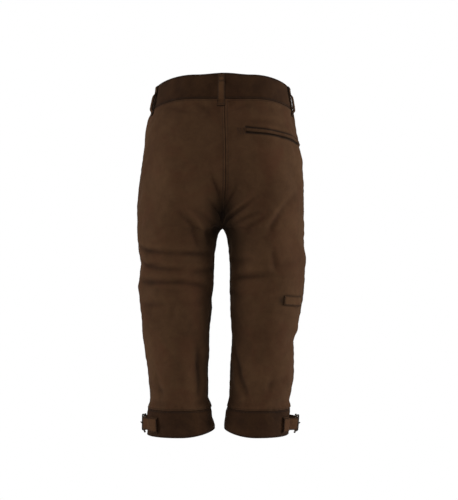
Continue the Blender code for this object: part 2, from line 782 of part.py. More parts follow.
def button(name, material):
    """A round button on the front of the waistband."""
    around = -2 - (LAP / 2 - BUTTON_SETBACK) * per_mm(LEFT, -2, BAND_MIDDLE)
    place = carried_on(LEFT, around)
    normal = facing(*place, BAND_MIDDLE)
    out = BAND_PROUD + 2 * SEAM_GAP + BUTTON_THICKNESS / 2
    centre = leather(*place, BAND_MIDDLE, out)
    bm = bmesh.new()
    bmesh.ops.create_cone(
        bm,
        cap_ends=True,
        segments=28,
        radius1=BUTTON_RADIUS * MM,
        radius2=BUTTON_RADIUS * MM,
        depth=BUTTON_THICKNESS * MM,
    )
    rims = [e for e in bm.edges if abs(e.verts[0].co.z - e.verts[1].co.z) < MM / 10]
    bmesh.ops.bevel(
        bm, geom=rims, offset=MM, segments=2, profile=0.5, affect="EDGES", material=-1
    )
    bm.transform(normal.to_track_quat("Z", "Y").to_matrix().to_4x4())
    for vertex in bm.verts:
        vertex.co += centre * MM
    return finish(name, bm, material)


bpy.context.scene.unit_settings.scale_length = 1.0
for old in list(bpy.data.objects):
    bpy.data.objects.remove(old)
PARTS = bpy.data.collections.new("knee_breeches")
bpy.context.scene.collection.children.link(PARTS)

SUEDE = surface_finish("brown_suede", (0.045, 0.024, 0.013), 0.9)
DARK_SUEDE = surface_finish("dark_brown_suede", (0.028, 0.015, 0.009), 0.9)
STEEL = surface_finish("old_nickel", (0.32, 0.30, 0.27), 0.4, 1.0)
HORN = surface_finish("dark_horn", (0.03, 0.02, 0.012), 0.35)

for side_name, side in (("left", LEFT), ("right", RIGHT)):
    panel(f"back_{side_name}", side, spread(0, 2, BACK_COLUMNS), SUEDE)
    panel(f"front_{side_name}", side, spread(-2, 0, FRONT_COLUMNS), SUEDE)

lap_step = per_mm(LEFT, -2, BAND_MIDDLE)
waistband("waistband_left", LEFT, -2 - LAP * lap_step, DARK_SUEDE)
waistband("waistband_right", RIGHT, -2 - UNDERLAP * lap_step, DARK_SUEDE)
button("waist_button", HORN)
fly("fly_lap", SUEDE)
for loop in BELT_LOOPS:
    belt_loop(*loop, DARK_SUEDE)
ribbon("pocket_welt", RIGHT, POCKET_MOUTH, WELT_HEIGHT, WELT_WALL, DARK_SUEDE)
ribbon("knife_flap", RIGHT, KNIFE_FLAP, FLAP_HEIGHT, FLAP_WALL, DARK_SUEDE)
for knee in KNEES:
    cuff(knee, DARK_SUEDE)
    strap(knee, DARK_SUEDE)
    keeper(knee, DARK_SUEDE)
    buckle_tab(knee, DARK_SUEDE)
    buckle(knee, STEEL)
    prong(knee, STEEL)
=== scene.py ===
# %% [markdown]
# # Suede knee breeches, worn and seen from behind
#
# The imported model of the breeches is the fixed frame: its walls give the true shape and sizes.
# This lesson dresses it. Each leather piece gets a thin shell on its solid's form, with the
# creases, seams and stitches that the real suede has, and the metal and horn get their finish.

import math
from collections import namedtuple

import bmesh
import bpy
import numpy as np
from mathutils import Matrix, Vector


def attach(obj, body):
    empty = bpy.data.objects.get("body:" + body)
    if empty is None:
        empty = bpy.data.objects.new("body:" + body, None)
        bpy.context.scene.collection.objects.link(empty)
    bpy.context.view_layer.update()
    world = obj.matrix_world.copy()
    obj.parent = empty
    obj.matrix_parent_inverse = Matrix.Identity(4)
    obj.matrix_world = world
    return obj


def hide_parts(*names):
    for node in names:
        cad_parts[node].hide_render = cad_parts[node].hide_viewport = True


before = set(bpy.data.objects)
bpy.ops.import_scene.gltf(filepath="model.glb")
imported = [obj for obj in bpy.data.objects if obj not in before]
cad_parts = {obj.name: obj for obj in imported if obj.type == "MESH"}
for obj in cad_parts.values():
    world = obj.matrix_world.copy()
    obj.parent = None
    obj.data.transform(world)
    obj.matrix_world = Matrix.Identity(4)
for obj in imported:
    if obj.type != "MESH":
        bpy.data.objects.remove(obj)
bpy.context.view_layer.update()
MM = 0.001
LEFT, RIGHT = 1, -1

# %% [markdown]
# ## The body surface
#
# Breeches that are worn are two leg tubes that join at the crotch. The surface is written as a
# function of two numbers: `around`, from -2 at the front centre seam over the side seam at 0 to
# 2 at the back, and `height` along the side seam. A few measured sections with named columns
# drive it, and smooth lines run between them, so a cutter's sizes stay readable. The same
# surface carries the panels and all that is sewn on them, moved out by millimetres.

# %% Sizes in millimetres
HEM, CUFF_SEAM, CROTCH, WAIST_SEAM, WAIST_TOP = -710.0, -655.0, -280.0, -37.0, 12.0
PANEL_WALL, BAND_WALL, BAND_PROUD = 2.0, 3.2, 0.8
SEAM_GAP, SEAM_SHUT = 0.3, 0.02
RING_SQUARENESS = 2.15
CLEFT_HEIGHT = 92.0

Section = namedtuple("Section", "height left right side back front apex")
SECTIONS = [
    Section(-712, 158, 137, 4, 75, -63, 0.50),
    Section(-690, 156, 138, 4, 73, -63, 0.50),
    Section(-665, 156, 140, 4, 72, -64, 0.50),
    Section(-651, 155, 141, 4, 73, -66, 0.50),
    Section(-641, 152, 139, 4, 73, -68, 0.50),
    Section(-626, 151, 142, 4, 75, -72, 0.50),
    Section(-605, 153, 146, 4, 77, -77, 0.50),
    Section(-584, 155, 149, 4, 79, -82, 0.50),
    Section(-552, 159, 149, 4, 81, -88, 0.50),
    Section(-521, 164, 149, 4, 84, -92, 0.50),
    Section(-504, 166, 150, 4, 86, -94, 0.50),
    Section(-489, 167, 155, 4, 88, -96, 0.50),
    Section(-468, 169, 160, 4, 90, -98, 0.50),
    Section(-447, 171, 164, 4, 93, -100, 0.50),
    Section(-426, 173, 168, 3, 96, -102, 0.50),
    Section(-405, 174, 170, 3, 99, -104, 0.50),
    Section(-378, 173, 172, 3, 103, -106, 0.50),
    Section(-353, 170, 172, 3, 108, -108, 0.50),
    Section(-321, 176, 171, 2, 114, -110, 0.50),
    Section(-290, 178, 169, 2, 120, -112, 0.50),
    Section(-248, 178, 170, 1, 129, -116, 0.50),
    Section(-216, 176, 170, 0, 134, -118, 0.49),
    Section(-185, 174, 169, 0, 137, -119, 0.48),
    Section(-143, 168, 166, 0, 136, -119, 0.46),
    Section(-122, 165, 163, 0, 133, -118, 0.45),
    Section(-97, 161, 158, 0, 129, -117, 0.44),
    Section(-80, 159, 154, 0, 125, -115, 0.43),
    Section(-59, 156, 151, 0, 120, -113, 0.42),
    Section(-32, 147, 146, 0, 112, -110, 0.40),
    Section(-8, 142, 142, 0, 109, -108, 0.40),
    Section(22, 138, 138, 0, 105, -105, 0.40),
]

Inseam = namedtuple("Inseam", "height left right depth")
INSEAMS = [
    Inseam(-712, 16, 4, 6),
    Inseam(-695, 18, 5, 6),
    Inseam(-678, 23, 7, 6),
    Inseam(-657, 24, 10, 6),
    Inseam(-646, 26, 12, 6),
    Inseam(-632, 31, 15, 6),
    Inseam(-573, 31, 17, 6),
    Inseam(-531, 28, 19, 5),
    Inseam(-500, 28, 21, 5),
    Inseam(-468, 25, 19, 4),
    Inseam(-447, 23, 18, 4),
    Inseam(-428, 24, 17, 3),
    Inseam(-405, 20, 16, 3),
    Inseam(-363, 18, 16, 2),
    Inseam(-342, 18, 15, 2),
    Inseam(-321, 15, 13, 1),
    Inseam(-300, 12, 10, 1),
    Inseam(-292, 10, 8, 0),
    Inseam(-285, 6, 5, 0),
    Inseam(CROTCH, 0, 0, 0),
]

Rise = namedtuple("Rise", "height back front sway")
RISES = [
    Rise(CROTCH, 0, 0, 0),
    Rise(-277.5, 24, -22, 0),
    Rise(-271, 41, -39, 0),
    Rise(-258, 60, -58, 1),
    Rise(-242, 79, -76, 2),
    Rise(-226, 97, -92, 4),
    Rise(-206, 114, -105, 6),
    Rise(-185, 126, -112, 7),
    Rise(-160, 132, -116, 7),
    Rise(-130, 132, -117, 7),
    Rise(-97, 127, -116, 6),
    Rise(-59, 118, -112.5, 5),
    Rise(WAIST_SEAM, 111.5, -110, 5),
    Rise(22, 105, -105, 5),
]

Tilt = namedtuple("Tilt", "height back front inner")
TILTS = [
    Tilt(-712, 0, 3, 12),
    Tilt(-655, 0, 0, 1),
    Tilt(-600, 0, 0, 0),
    Tilt(-235, 0, 0, 0),
    Tilt(-180, 4, -2, 0),
    Tilt(-100, 11, -5, 0),
    Tilt(WAIST_SEAM, 17, -8, 0),
    Tilt(22, 18, -8, 4.5),
]


# %% A smooth line through each column
def arrays(*values):
    """These values as arrays of numbers, all of one shape."""
    return np.broadcast_arrays(*(np.asarray(value, float) for value in values))


def smooth(t):
    """0 to 1, level at both ends."""
    t = np.clip(t, 0.0, 1.0)
    return t * t * (3 - 2 * t)


def column_line(table, column):
    """A function of height that follows one column and never overshoots its rows."""
    x = np.array([row.height for row in table], float)
    y = np.array([getattr(row, column) for row in table], float)
    slope = np.diff(y) / np.diff(x)
    tangent = np.empty(len(x))
    tangent[0], tangent[-1] = slope[0], slope[-1]
    before, after = slope[:-1], slope[1:]
    total = np.where(before + after == 0, 1, before + after)
    tangent[1:-1] = np.where(before * after <= 0, 0.0, 2 * before * after / total)

    def line(height):
        h = np.clip(height, x[0], x[-1])
        k = np.clip(np.searchsorted(x, h, side="left") - 1, 0, len(x) - 2)
        step = x[k + 1] - x[k]
        t = (h - x[k]) / step
        return (
            (2 * t**3 - 3 * t**2 + 1) * y[k]
            + (t**3 - 2 * t**2 + t) * step * tangent[k]
            + (3 * t**2 - 2 * t**3) * y[k + 1]
            + (t**3 - t**2) * step * tangent[k + 1]
        )

    return line


LINES = {
    (table_name, column): column_line(table, column)
    for table_name, table in (
        ("section", SECTIONS), ("inseam", INSEAMS), ("rise", RISES), ("tilt", TILTS)
    )
    for column in table[0]._fields[1:]
}


# %% The surface itself
def body(side, around, height):
    """Points of the smooth surface in millimetres. side, around and height are arrays."""
    side, around, height = arrays(side, around, height)

    def by_side(table):
        return np.where(side > 0, LINES[table, "left"](height), LINES[table, "right"](height))

    def by_face(table):
        return np.where(around > 0, LINES[table, "back"](height), LINES[table, "front"](height))

    below = height <= CROTCH
    outer = by_side("section")
    side_y = LINES["section", "side"](height)
    apex_y = by_face("section")
    sway = np.where(around > 0, -side * LINES["rise", "sway"](height), 0.0)
    inner_x = np.where(below, by_side("inseam"), sway)
    inner_y = np.where(below, LINES["inseam", "depth"](height), by_face("rise"))
    closing = np.where(below, 0.0, smooth((height - CROTCH) / CLEFT_HEIGHT))
    apex_x = inner_x + (outer - inner_x) * LINES["section", "apex"](height)
    power = 2 / RING_SQUARENESS
    lift = by_face("tilt")
    share = np.abs(around)

    turn = np.clip(share, 0, 1) * math.pi / 2
    side_half_x = apex_x + (outer - apex_x) * np.maximum(np.cos(turn), 0) ** power
    side_half_y = side_y + (apex_y - side_y) * np.sin(turn) ** power
    side_half_z = height + lift * smooth(share)

    t = np.clip(share - 1, 0, 1)
    turn = t * math.pi / 2
    round_x = apex_x + (inner_x - apex_x) * np.sin(turn) ** power
    round_y = inner_y + (apex_y - inner_y) * np.maximum(np.cos(turn), 0) ** power
    level_x = apex_x + (inner_x - apex_x) * t
    level_y = apex_y + (inner_y - apex_y) * smooth(t)
    centre = LINES["tilt", "inner"](height)
    end = np.where(below, centre, lift + np.where(around > 0, centre, 0.0))
    inner_half_x = round_x + (level_x - round_x) * closing
    inner_half_y = round_y + (level_y - round_y) * closing
    inner_half_z = height + lift + (end - lift) * smooth(t)

    outside = share <= 1
    return np.stack(
        [
            side * np.where(outside, side_half_x, inner_half_x),
            np.where(outside, side_half_y, inner_half_y),
            np.where(outside, side_half_z, inner_half_z),
        ],
        axis=-1,
    )


def unit(vectors):
    return vectors / np.maximum(np.linalg.norm(vectors, axis=-1, keepdims=True), 1e-9)


def facing(side, around, height):
    """Outward normals of the smooth surface, and the millimetres in one step of around."""
    side, around, height = arrays(side, around, height)
    reach, climb = 0.02, 2.0
    below = height <= CROTCH
    low_h = np.where(below, height - climb, np.maximum(height - climb, CROTCH + 0.01))
    high_h = np.where(below, np.minimum(height + climb, CROTCH), height + climb)

    def one_sided(a):
        low, high = np.maximum(a - reach, -2.0), np.minimum(a + reach, 2.0)
        across = (body(side, high, height) - body(side, low, height)) / (high - low)[..., None]
        up = body(side, a, high_h) - body(side, a, low_h)
        normal = unit(np.cross(across, up) * side[..., None])
        return normal, np.linalg.norm(across, axis=-1)

    normal, pace = one_sided(around)
    at_edge = np.abs(around) >= 2
    ends = np.full_like(around, 2.0)
    inseam_normal = unit(one_sided(ends)[0] + one_sided(-ends)[0])
    rear = around > 0
    run = np.where(
        rear,
        LINES["rise", "back"](high_h) - LINES["rise", "back"](low_h),
        LINES["rise", "front"](high_h) - LINES["rise", "front"](low_h),
    )
    sign = np.where(rear, 1.0, -1.0)
    rise_normal = unit(np.stack([0 * run, sign * (high_h - low_h), -sign * run], axis=-1))
    crotch = np.abs(height - CROTCH) < 1e-6
    rise_normal = np.where(crotch[..., None], np.array([0, 0, -1.0]), rise_normal)
    edge_normal = np.where((height < CROTCH)[..., None], inseam_normal, rise_normal)
    return np.where(at_edge[..., None], edge_normal, normal), pace


def carried_on(side, around):
    """The same places when around runs past a centre seam on to the other side."""
    side, around = arrays(side, around)
    past = np.abs(around) > 2
    turned = np.where(around > 0, 4 - around, -4 - around)
    return np.where(past, -side, side), np.where(past, turned, around)


print("waist centre back:", body(LEFT, 2.0, WAIST_TOP).round(1))

# %% [markdown]
# ## Creases
#
# Soft suede hangs in a few long pulls and many short ones. Each crease is a row in a table: from
# one place to another, with its own width, depth and bow. A trough has a softer lip on one side,
# as leather has that is pushed into a fold, and a depth below 0 makes a ridge. Rows are uneven
# on purpose. The back follows the garment as seen, and the hidden front and sides get creases
# of the same kind.

# %% The crease table
Fold = namedtuple("Fold", "side around height to_around to_height width depth bow")
FOLDS = [
    # drag lines under the waistband
    Fold(LEFT, 0.50, -44, 1.05, -64, 6, 2.2, 0),
    Fold(LEFT, 0.95, -43, 1.65, -66, 6, 2.2, 0),
    Fold(LEFT, 0.20, -60, 0.62, -92, 8, 1.2, 2),
    Fold(LEFT, 1.30, -52, 1.92, -60, 5, 1.0, 0),
    Fold(RIGHT, 0.46, -50, 0.98, -62, 6, 1.4, 0),
    Fold(RIGHT, 1.10, -48, 1.72, -58, 6, 1.2, 0),
    # slack leather over the pocket, and its pull below
    Fold(RIGHT, 0.30, -82, 1.50, -84, 5, 2.2, 2),
    Fold(RIGHT, 0.40, -118, 1.30, -112, 7, 1.2, -2),
    # the seat gathers towards the crotch
    Fold(LEFT, 1.02, -232, 1.62, -334, 5, -2.2, 4),
    Fold(LEFT, 0.98, -244, 1.44, -334, 5, 3.0, 4),
    Fold(LEFT, 1.26, -246, 1.78, -298, 6, 2.6, 2),
    Fold(LEFT, 1.62, -170, 1.97, -248, 6, 3.4, 2),
    Fold(LEFT, 1.50, -222, 1.94, -262, 5, 2.6, -1),
    Fold(LEFT, 0.70, -206, 1.10, -252, 9, 1.8, 0),
    Fold(RIGHT, 1.26, -220, 1.88, -268, 4, -1.8, 0),
    Fold(RIGHT, 1.16, -222, 1.88, -280, 6, 3.8, 0),
    Fold(RIGHT, 1.00, -248, 1.60, -282, 5, 2.8, 2),
    Fold(RIGHT, 1.66, -196, 1.96, -250, 5, 2.6, 0),
    Fold(RIGHT, 0.58, -222, 1.02, -312, 6, 3.2, 5),
    Fold(RIGHT, 0.66, -220, 1.06, -292, 4, -1.4, 5),
    Fold(RIGHT, 0.90, -252, 1.40, -304, 5, 2.4, 2),
    Fold(RIGHT, 0.30, -196, 0.66, -236, 9, 1.6, 0),
    # creases behind the left knee
    Fold(LEFT, 0.10, -316, 1.00, -333, 6, 4.6, -3),
    Fold(LEFT, 0.84, -334, 1.70, -337, 6, 4.0, 2),
    Fold(LEFT, 0.06, -347, 1.20, -369, 6, 4.4, -3),
    Fold(LEFT, 1.16, -371, 1.94, -370, 6, 3.2, 2),
    Fold(LEFT, 0.08, -389, 1.16, -391, 7, 4.8, -2),
    Fold(LEFT, 0.98, -390, 1.66, -405, 6, 3.8, 2),
    Fold(LEFT, 0.40, -360, 0.86, -350, 4, 1.4, 0),
    Fold(LEFT, 0.60, -404, 1.08, -412, 5, 1.6, 1),
    Fold(LEFT, 0.14, -436, 0.94, -438, 7, 3.0, -1),
    Fold(LEFT, 1.06, -440, 1.60, -430, 7, 1.8, 0),
    Fold(LEFT, 0.96, -432, 0.99, -470, 5, 1.4, 0),
    # behind the right knee it is smoother
    Fold(RIGHT, 0.93, -316, 0.90, -370, 6, 2.8, 1),
    Fold(RIGHT, 0.90, -379, 1.84, -387, 7, 4.0, 3),
    Fold(RIGHT, 0.40, -352, 1.00, -362, 8, 1.8, 0),
    Fold(RIGHT, 1.20, -346, 1.90, -352, 7, 2.0, 0),
    Fold(RIGHT, 1.30, -420, 1.90, -414, 7, 1.8, 0),
    # down the calves
    Fold(LEFT, 1.42, -508, 1.52, -644, 11, 5.0, 5),
    Fold(LEFT, 1.04, -540, 1.16, -648, 9, 1.8, -4),
    Fold(LEFT, 0.50, -560, 0.60, -646, 9, 1.6, 3),
    Fold(LEFT, 0.20, -604, 1.00, -622, 8, 1.6, 0),
    Fold(RIGHT, 1.74, -516, 1.18, -640, 9, 4.8, 5),
    Fold(RIGHT, 0.84, -556, 0.92, -644, 9, 1.8, -3),
    Fold(RIGHT, 0.46, -590, 1.04, -606, 8, 1.4, 0),
    Fold(RIGHT, -0.40, -505, 0.55, -522, 10, 1.6, 0),
    # the leather bags over the cuff seam
    Fold(LEFT, 0.30, -640, 0.90, -646, 5, 1.6, 0),
    Fold(LEFT, 1.10, -644, 1.80, -638, 5, 1.4, 0),
    Fold(RIGHT, 0.20, -644, 0.80, -638, 5, 1.4, 0),
    Fold(RIGHT, 1.00, -641, 1.70, -646, 5, 1.6, 0),
    # the front pulls at the crotch
    Fold(LEFT, -1.92, -224, -1.10, -172, 7, 3.4, 4),
    Fold(LEFT, -1.86, -262, -0.96, -250, 7, 4.0, -4),
    Fold(LEFT, -1.62, -300, -0.84, -336, 7, 3.4, 2),
    Fold(LEFT, -1.94, -190, -1.40, -148, 6, 2.0, 0),
    Fold(LEFT, -0.90, -120, -0.30, -160, 9, 1.6, 0),
    Fold(RIGHT, -1.94, -210, -1.22, -164, 7, 3.2, 3),
    Fold(RIGHT, -1.84, -252, -0.90, -228, 7, 4.2, 4),
    Fold(RIGHT, -1.70, -290, -0.98, -318, 7, 3.4, -2),
    Fold(RIGHT, -1.90, -176, -1.46, -130, 6, 1.8, 0),
    Fold(RIGHT, -1.00, -110, -0.36, -140, 9, 1.4, 0),
    # creases over and under the knees at the front
    Fold(LEFT, -1.46, -424, -0.44, -436, 9, 3.4, 5),
    Fold(LEFT, -1.60, -474, -0.90, -462, 8, 1.8, 0),
    Fold(LEFT, -1.30, -566, -0.28, -552, 8, 3.6, -4),
    Fold(LEFT, -1.50, -590, -0.80, -598, 7, 2.2, 0),
    Fold(LEFT, -1.72, -610, -1.06, -628, 8, 2.8, 2),
    Fold(RIGHT, -1.60, -446, -0.56, -432, 9, 3.4, 4),
    Fold(RIGHT, -1.40, -486, -0.70, -480, 8, 1.8, 0),
    Fold(RIGHT, -1.40, -580, -0.36, -592, 8, 3.8, 4),
    Fold(RIGHT, -1.66, -606, -0.96, -618, 7, 2.2, 0),
    Fold(RIGHT, -0.80, -622, -0.14, -606, 8, 2.8, -2),
]

AROUND_MM = 112.0
LIP_SHARE, LIP_AT, LIP_WIDTH = 0.45, 1.9, 1.2
FADE_CENTRE, FADE_CUFF, FADE_WAIST = 0.14, 14.0, 12.0


def creases(side, around, height):
    """How far the creases push the leather out (above 0) or in, in millimetres."""
    total = np.zeros(np.broadcast(around, height).shape)
    for fold in FOLDS:
        start = np.array([fold.around * AROUND_MM, fold.height])
        along = np.array([fold.to_around * AROUND_MM, fold.to_height]) - start
        length = np.linalg.norm(along)
        across = along / length
        x, y = around * AROUND_MM - start[0], height - start[1]
        t = (x * across[0] + y * across[1]) / length
        inside = np.clip(t, 0, 1)
        taper = np.sin(math.pi * inside) ** 0.7 * ((t > -0.05) & (t < 1.05))
        offset = across[0] * y - across[1] * x - fold.bow * np.sin(math.pi * inside)
        trough = np.exp(-((offset / fold.width) ** 2))
        lip = np.exp(-(((offset - LIP_AT * fold.width) / (LIP_WIDTH * fold.width)) ** 2))
        total += (side == fold.side) * taper * fold.depth * (LIP_SHARE * lip - trough)
    edges = smooth((2 - np.abs(around)) / FADE_CENTRE)
    edges = edges * smooth((height - CUFF_SEAM) / FADE_CUFF)
    return total * edges * smooth((WAIST_SEAM - height) / FADE_WAIST)


print(len(FOLDS), "creases, deepest", max(fold.depth for fold in FOLDS), "mm")

# %% [markdown]
# ## Seams and slack
#
# Beside a sewn seam the leather is double, so it stands up as a low flat ridge, dips into the
# seam itself, and is pulled in by each row of stitches, which puckers it. Between the seams it
# is never quite flat. All of this is a small offset along the surface's normal, so one function
# gives the height of the leather at any place, and whatever is sewn on asks the same function.

# %% Where things are sewn on the right leg
def bump(d, width):
    """1 at 0, falling away over this width."""
    return np.exp(-((d / width) ** 2))


Route = namedtuple("Route", "around height")
POCKET_MOUTH = [Route(-0.10, -104), Route(0.52, -101.5), Route(0.98, -97.5), Route(1.36, -95)]
KNIFE_FLAP = [Route(0.16, -432), Route(0.30, -431.5), Route(0.74, -427)]
WELT_HEIGHT, FLAP_HEIGHT = 7.0, 19.0


def route_heights(route, around):
    return np.interp(around, [place.around for place in route], [place.height for place in route])


def beside_strip(side, around, height, route, tall, width):
    """1 along the long edges of a strip that is sewn on the right leg, 0 away from them."""
    off = np.abs(height - route_heights(route, around)) - tall / 2
    start = smooth((around - route[0].around) * AROUND_MM / 3 + 1)
    end = smooth((route[-1].around - around) * AROUND_MM / 3 + 1.6)
    return bump(off - width * 0.6, width) * start * end * (side == RIGHT)


# %% Seam relief and slack
SIDE_ROW, CENTRE_ROW = 2.6, 4.8
WELT_GROOVE, FLAP_GROOVE = 1.9, 0.9
Slack = namedtuple("Slack", "size seed height")
SOFT = [Slack(70, 1, 1.3), Slack(26, 2, 0.32), Slack(9, 3, 0.09)]


def waves(points, size, seed):
    """Smooth waves in all directions about this many millimetres long, mostly -1 to 1."""
    rng = np.random.default_rng(seed)
    total = np.zeros(points.shape[:-1])
    for _ in range(9):
        way = rng.normal(size=3)
        way *= 2 * math.pi / size / np.linalg.norm(way) * rng.uniform(0.6, 1.4)
        total += np.sin(points @ way + rng.uniform(0, 2 * math.pi))
    return total / 2.4


def seam_ridge(d, row, height=0.8):
    """The leather's height at distance d from a seam with a row of stitches beside it."""
    return height * (1 - smooth((d - row) / 2.8)) - 0.9 * bump(d, 0.9) - 0.4 * bump(d - row, 0.8)


def relief(points, side, around, height, pace):
    """Ridges, puckers and slack of the panels, in millimetres. pace is mm per around."""
    to_side = np.abs(around) * pace
    to_centre = (2 - np.abs(around)) * pace
    to_waist, to_cuff = WAIST_SEAM - height, height - CUFF_SEAM
    centre_row = np.where(height > CROTCH, CENTRE_ROW, SIDE_ROW)
    total = seam_ridge(to_side, SIDE_ROW) + seam_ridge(to_centre, centre_row)
    total = total + 0.9 * bump(to_cuff - 3.5, 3.0) + 0.5 * bump(to_waist - 3.0, 2.6)
    welt = beside_strip(side, around, height, POCKET_MOUTH, WELT_HEIGHT, 2.0)
    flap = beside_strip(side, around, height, KNIFE_FLAP, FLAP_HEIGHT, 1.6)
    total = total - WELT_GROOVE * welt - FLAP_GROOVE * flap
    nearest = np.minimum(np.minimum(to_side, to_centre), np.minimum(to_waist, to_cuff))
    puckers = waves(points, 11, 5) * 0.32 * bump(np.maximum(nearest, 0), 9)
    gathers = waves(points * (1, 1, 0.25), 15, 6) * 0.7 * bump(np.maximum(to_cuff - 4, 0), 9)
    soft = sum(waves(points, kind.size, kind.seed) * kind.height for kind in SOFT)
    on_panel = smooth(to_waist / 1.2) * smooth(to_cuff / 1.2)
    return (total + puckers + gathers + soft * smooth(nearest / 9)) * on_panel


def surface(side, around, height, out=0.0):
    """Places on the creased leather, this far out from its outer face, and its normals."""
    side, around = carried_on(side, around)
    normal, pace = facing(side, around, height)
    flat = body(side, around, height)
    push = out + creases(side, around, height) + relief(flat, side, around, height, pace)
    return flat + normal * push[..., None], normal


print("ridge beside a side seam:", seam_ridge(np.array([0, 1.5, 2.6, 5, 9]), SIDE_ROW).round(2))

# %% [markdown]
# ## From a grid to a leather wall
#
# Each cut piece of leather is a sheet with a thickness. A flat grid is made first, extruded once
# for the inner face, and then every point of it is moved to its place on the surface: its column
# says how far round, its row how high. That keeps panels, bands and straps to one recipe. Edges
# that show are rounded by letting the outer face sink towards them.

# %% The wall builder
def stepped(length, step, edge=(0.0, 0.3, 0.8, 1.6, 2.8)):
    """Distances from 0 to length, close together at both ends and even between them."""
    ends = np.array([e for e in edge if e < length * 0.45])
    count = max(1, round((length - 2 * ends[-1]) / step))
    middle = np.linspace(ends[-1], length - ends[-1], count + 1)
    return np.concatenate([ends[:-1], middle, (length - ends[:-1])[::-1]])


EDGES = {
    "left": (np.s_[:, 0], np.s_[:, 1]),
    "right": (np.s_[:, -1], np.s_[:, -2]),
    "bottom": (np.s_[0], np.s_[1]),
    "top": (np.s_[-1], np.s_[-2]),
}


def trimmed(grid, *edges):
    """The grid with these edges drawn back by a hair, so that a sewn seam looks shut."""
    grid = grid.copy()
    for edge in edges:
        line, inward = EDGES[edge]
        grid[line] += unit(grid[inward] - grid[line]) * (SEAM_SHUT / 2)
    return grid


def rounded(d, radius):
    """How far an edge rounded by this radius has sunk at distance d from it."""
    short = np.clip(1 - d / radius, 0, 1)
    return radius * (1 - np.sqrt(1 - short**2))


def as_mesh(name, bm):
    """The finished shape as a mesh."""
    mesh = bpy.data.meshes.new(name)
    bm.to_mesh(mesh)
    bm.free()
    return mesh


def flat_sheet(name, rows, columns):
    """A flat grid with a second face below it, as a mesh. Its places come later."""
    bm = bmesh.new()
    bmesh.ops.create_grid(bm, x_segments=columns - 1, y_segments=rows - 1, size=0.5)
    made = bmesh.ops.extrude_face_region(bm, geom=bm.faces[:], use_keep_orig=True)
    lower = [v for v in made["geom"] if isinstance(v, bmesh.types.BMVert)]
    bmesh.ops.translate(bm, verts=lower, vec=(0, 0, -1))
    for face in bm.faces:
        face.material_index = int(all(v.co.z < -0.5 for v in face.verts))
    return as_mesh(name, bm)


Chart = namedtuple("Chart", "xs ys places normals")
CHARTS = {}


def wall(name, xs, ys, outer, inner, finishes, values):
    """A closed wall between two grids of places in millimetres, with a value per point.
    xs and ys are the flat coordinates of the grid's columns and rows."""
    CHARTS[name] = Chart(xs, ys, outer, unit(outer - inner))
    rows, columns = outer.shape[:2]
    mesh = flat_sheet(name, rows, columns)
    flat = np.empty(len(mesh.vertices) * 3)
    mesh.vertices.foreach_get("co", flat)
    flat = flat.reshape(-1, 3)
    column = np.rint((flat[:, 0] + 0.5) * (columns - 1)).astype(int)
    row = np.rint((flat[:, 1] + 0.5) * (rows - 1)).astype(int)
    inside = flat[:, 2] < -0.5
    places = np.where(inside[:, None], inner[row, column], outer[row, column]) * MM
    mesh.vertices.foreach_set("co", places.ravel())
    for key, grid in values.items():
        layer = mesh.attributes.new(key, "FLOAT", "POINT")
        layer.data.foreach_set("value", grid[row, column].astype(np.float32))
    for material in finishes:
        mesh.materials.append(material)
    return settled(name, mesh)


SHARP_EDGE = math.radians(60)


def settled(name, mesh):
    """The mesh as an object, its faces turned outwards and shaded smooth but for edges."""
    bm = bmesh.new()
    bm.from_mesh(mesh)
    bmesh.ops.recalc_face_normals(bm, faces=bm.faces[:])
    if bm.calc_volume(signed=True) < 0:
        bmesh.ops.reverse_faces(bm, faces=bm.faces[:])
    bm.to_mesh(mesh)
    bm.free()
    mesh.shade_smooth()
    mesh.set_sharp_from_angle(angle=SHARP_EDGE)
    obj = bpy.data.objects.new(name, mesh)
    bpy.context.scene.collection.objects.link(obj)
    return obj


def fit(obj, slot, *nodes):
    """The piece rides on the one body and stands for these CAD nodes, which are hidden. slot is
    not used.
    """
    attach(obj, "root")
    if nodes:
        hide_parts(*nodes)
    return obj


print("steps over 15 mm:", stepped(15, 3).round(1))

# %% [markdown]
# ## Finishes
#
# Suede is the flesh side of a split hide, sanded to a short nap. It hardly shines, but the nap
# catches light at a glancing angle, which is a sheen. Its colour wanders a little because the
# fibres lie in different directions, and it is paler where it is rubbed. Shade is painted into it
# too: dark at seams, stitch rows and creases, at the crotch and between the legs. A few small
# functions add the nodes that come back in each finish.

# %% Colour and node helpers
def colour(hex_code):
    """An sRGB hex colour as linear numbers."""
    parts = [int(hex_code[i : i + 2], 16) / 255 for i in (1, 3, 5)]
    return (*[c / 12.92 if c <= 0.04045 else ((c + 0.055) / 1.055) ** 2.4 for c in parts], 1.0)


def wire_up(tree, node, inputs):
    """Sets each input of a node, to a value or to another node's socket."""
    for key, value in inputs.items():
        if isinstance(value, bpy.types.NodeSocket):
            tree.links.new(value, node.inputs[key])
        else:
            node.inputs[key].default_value = value


def add(tree, kind, inputs=None, **settings):
    """A node of this kind with its settings and inputs."""
    node = tree.nodes.new("ShaderNode" + kind)
    for key, value in settings.items():
        setattr(node, key, value)
    wire_up(tree, node, inputs or {})
    return node


def noise(tree, where, scale, detail=2.0, roughness=0.5, distortion=0.0):
    """Clouds, this many to the metre."""
    inputs = {"Vector": where, "Scale": scale, "Detail": detail, "Roughness": roughness,
              "Distortion": distortion}
    return add(tree, "TexNoise", inputs).outputs["Fac"]


def ranged(tree, value, low, high, to_low=0.0, to_high=1.0):
    """The value stretched from one range to another, and held inside that."""
    inputs = {"Value": value, "From Min": low, "From Max": high, "To Min": to_low,
              "To Max": to_high}
    return add(tree, "MapRange", inputs).outputs["Result"]


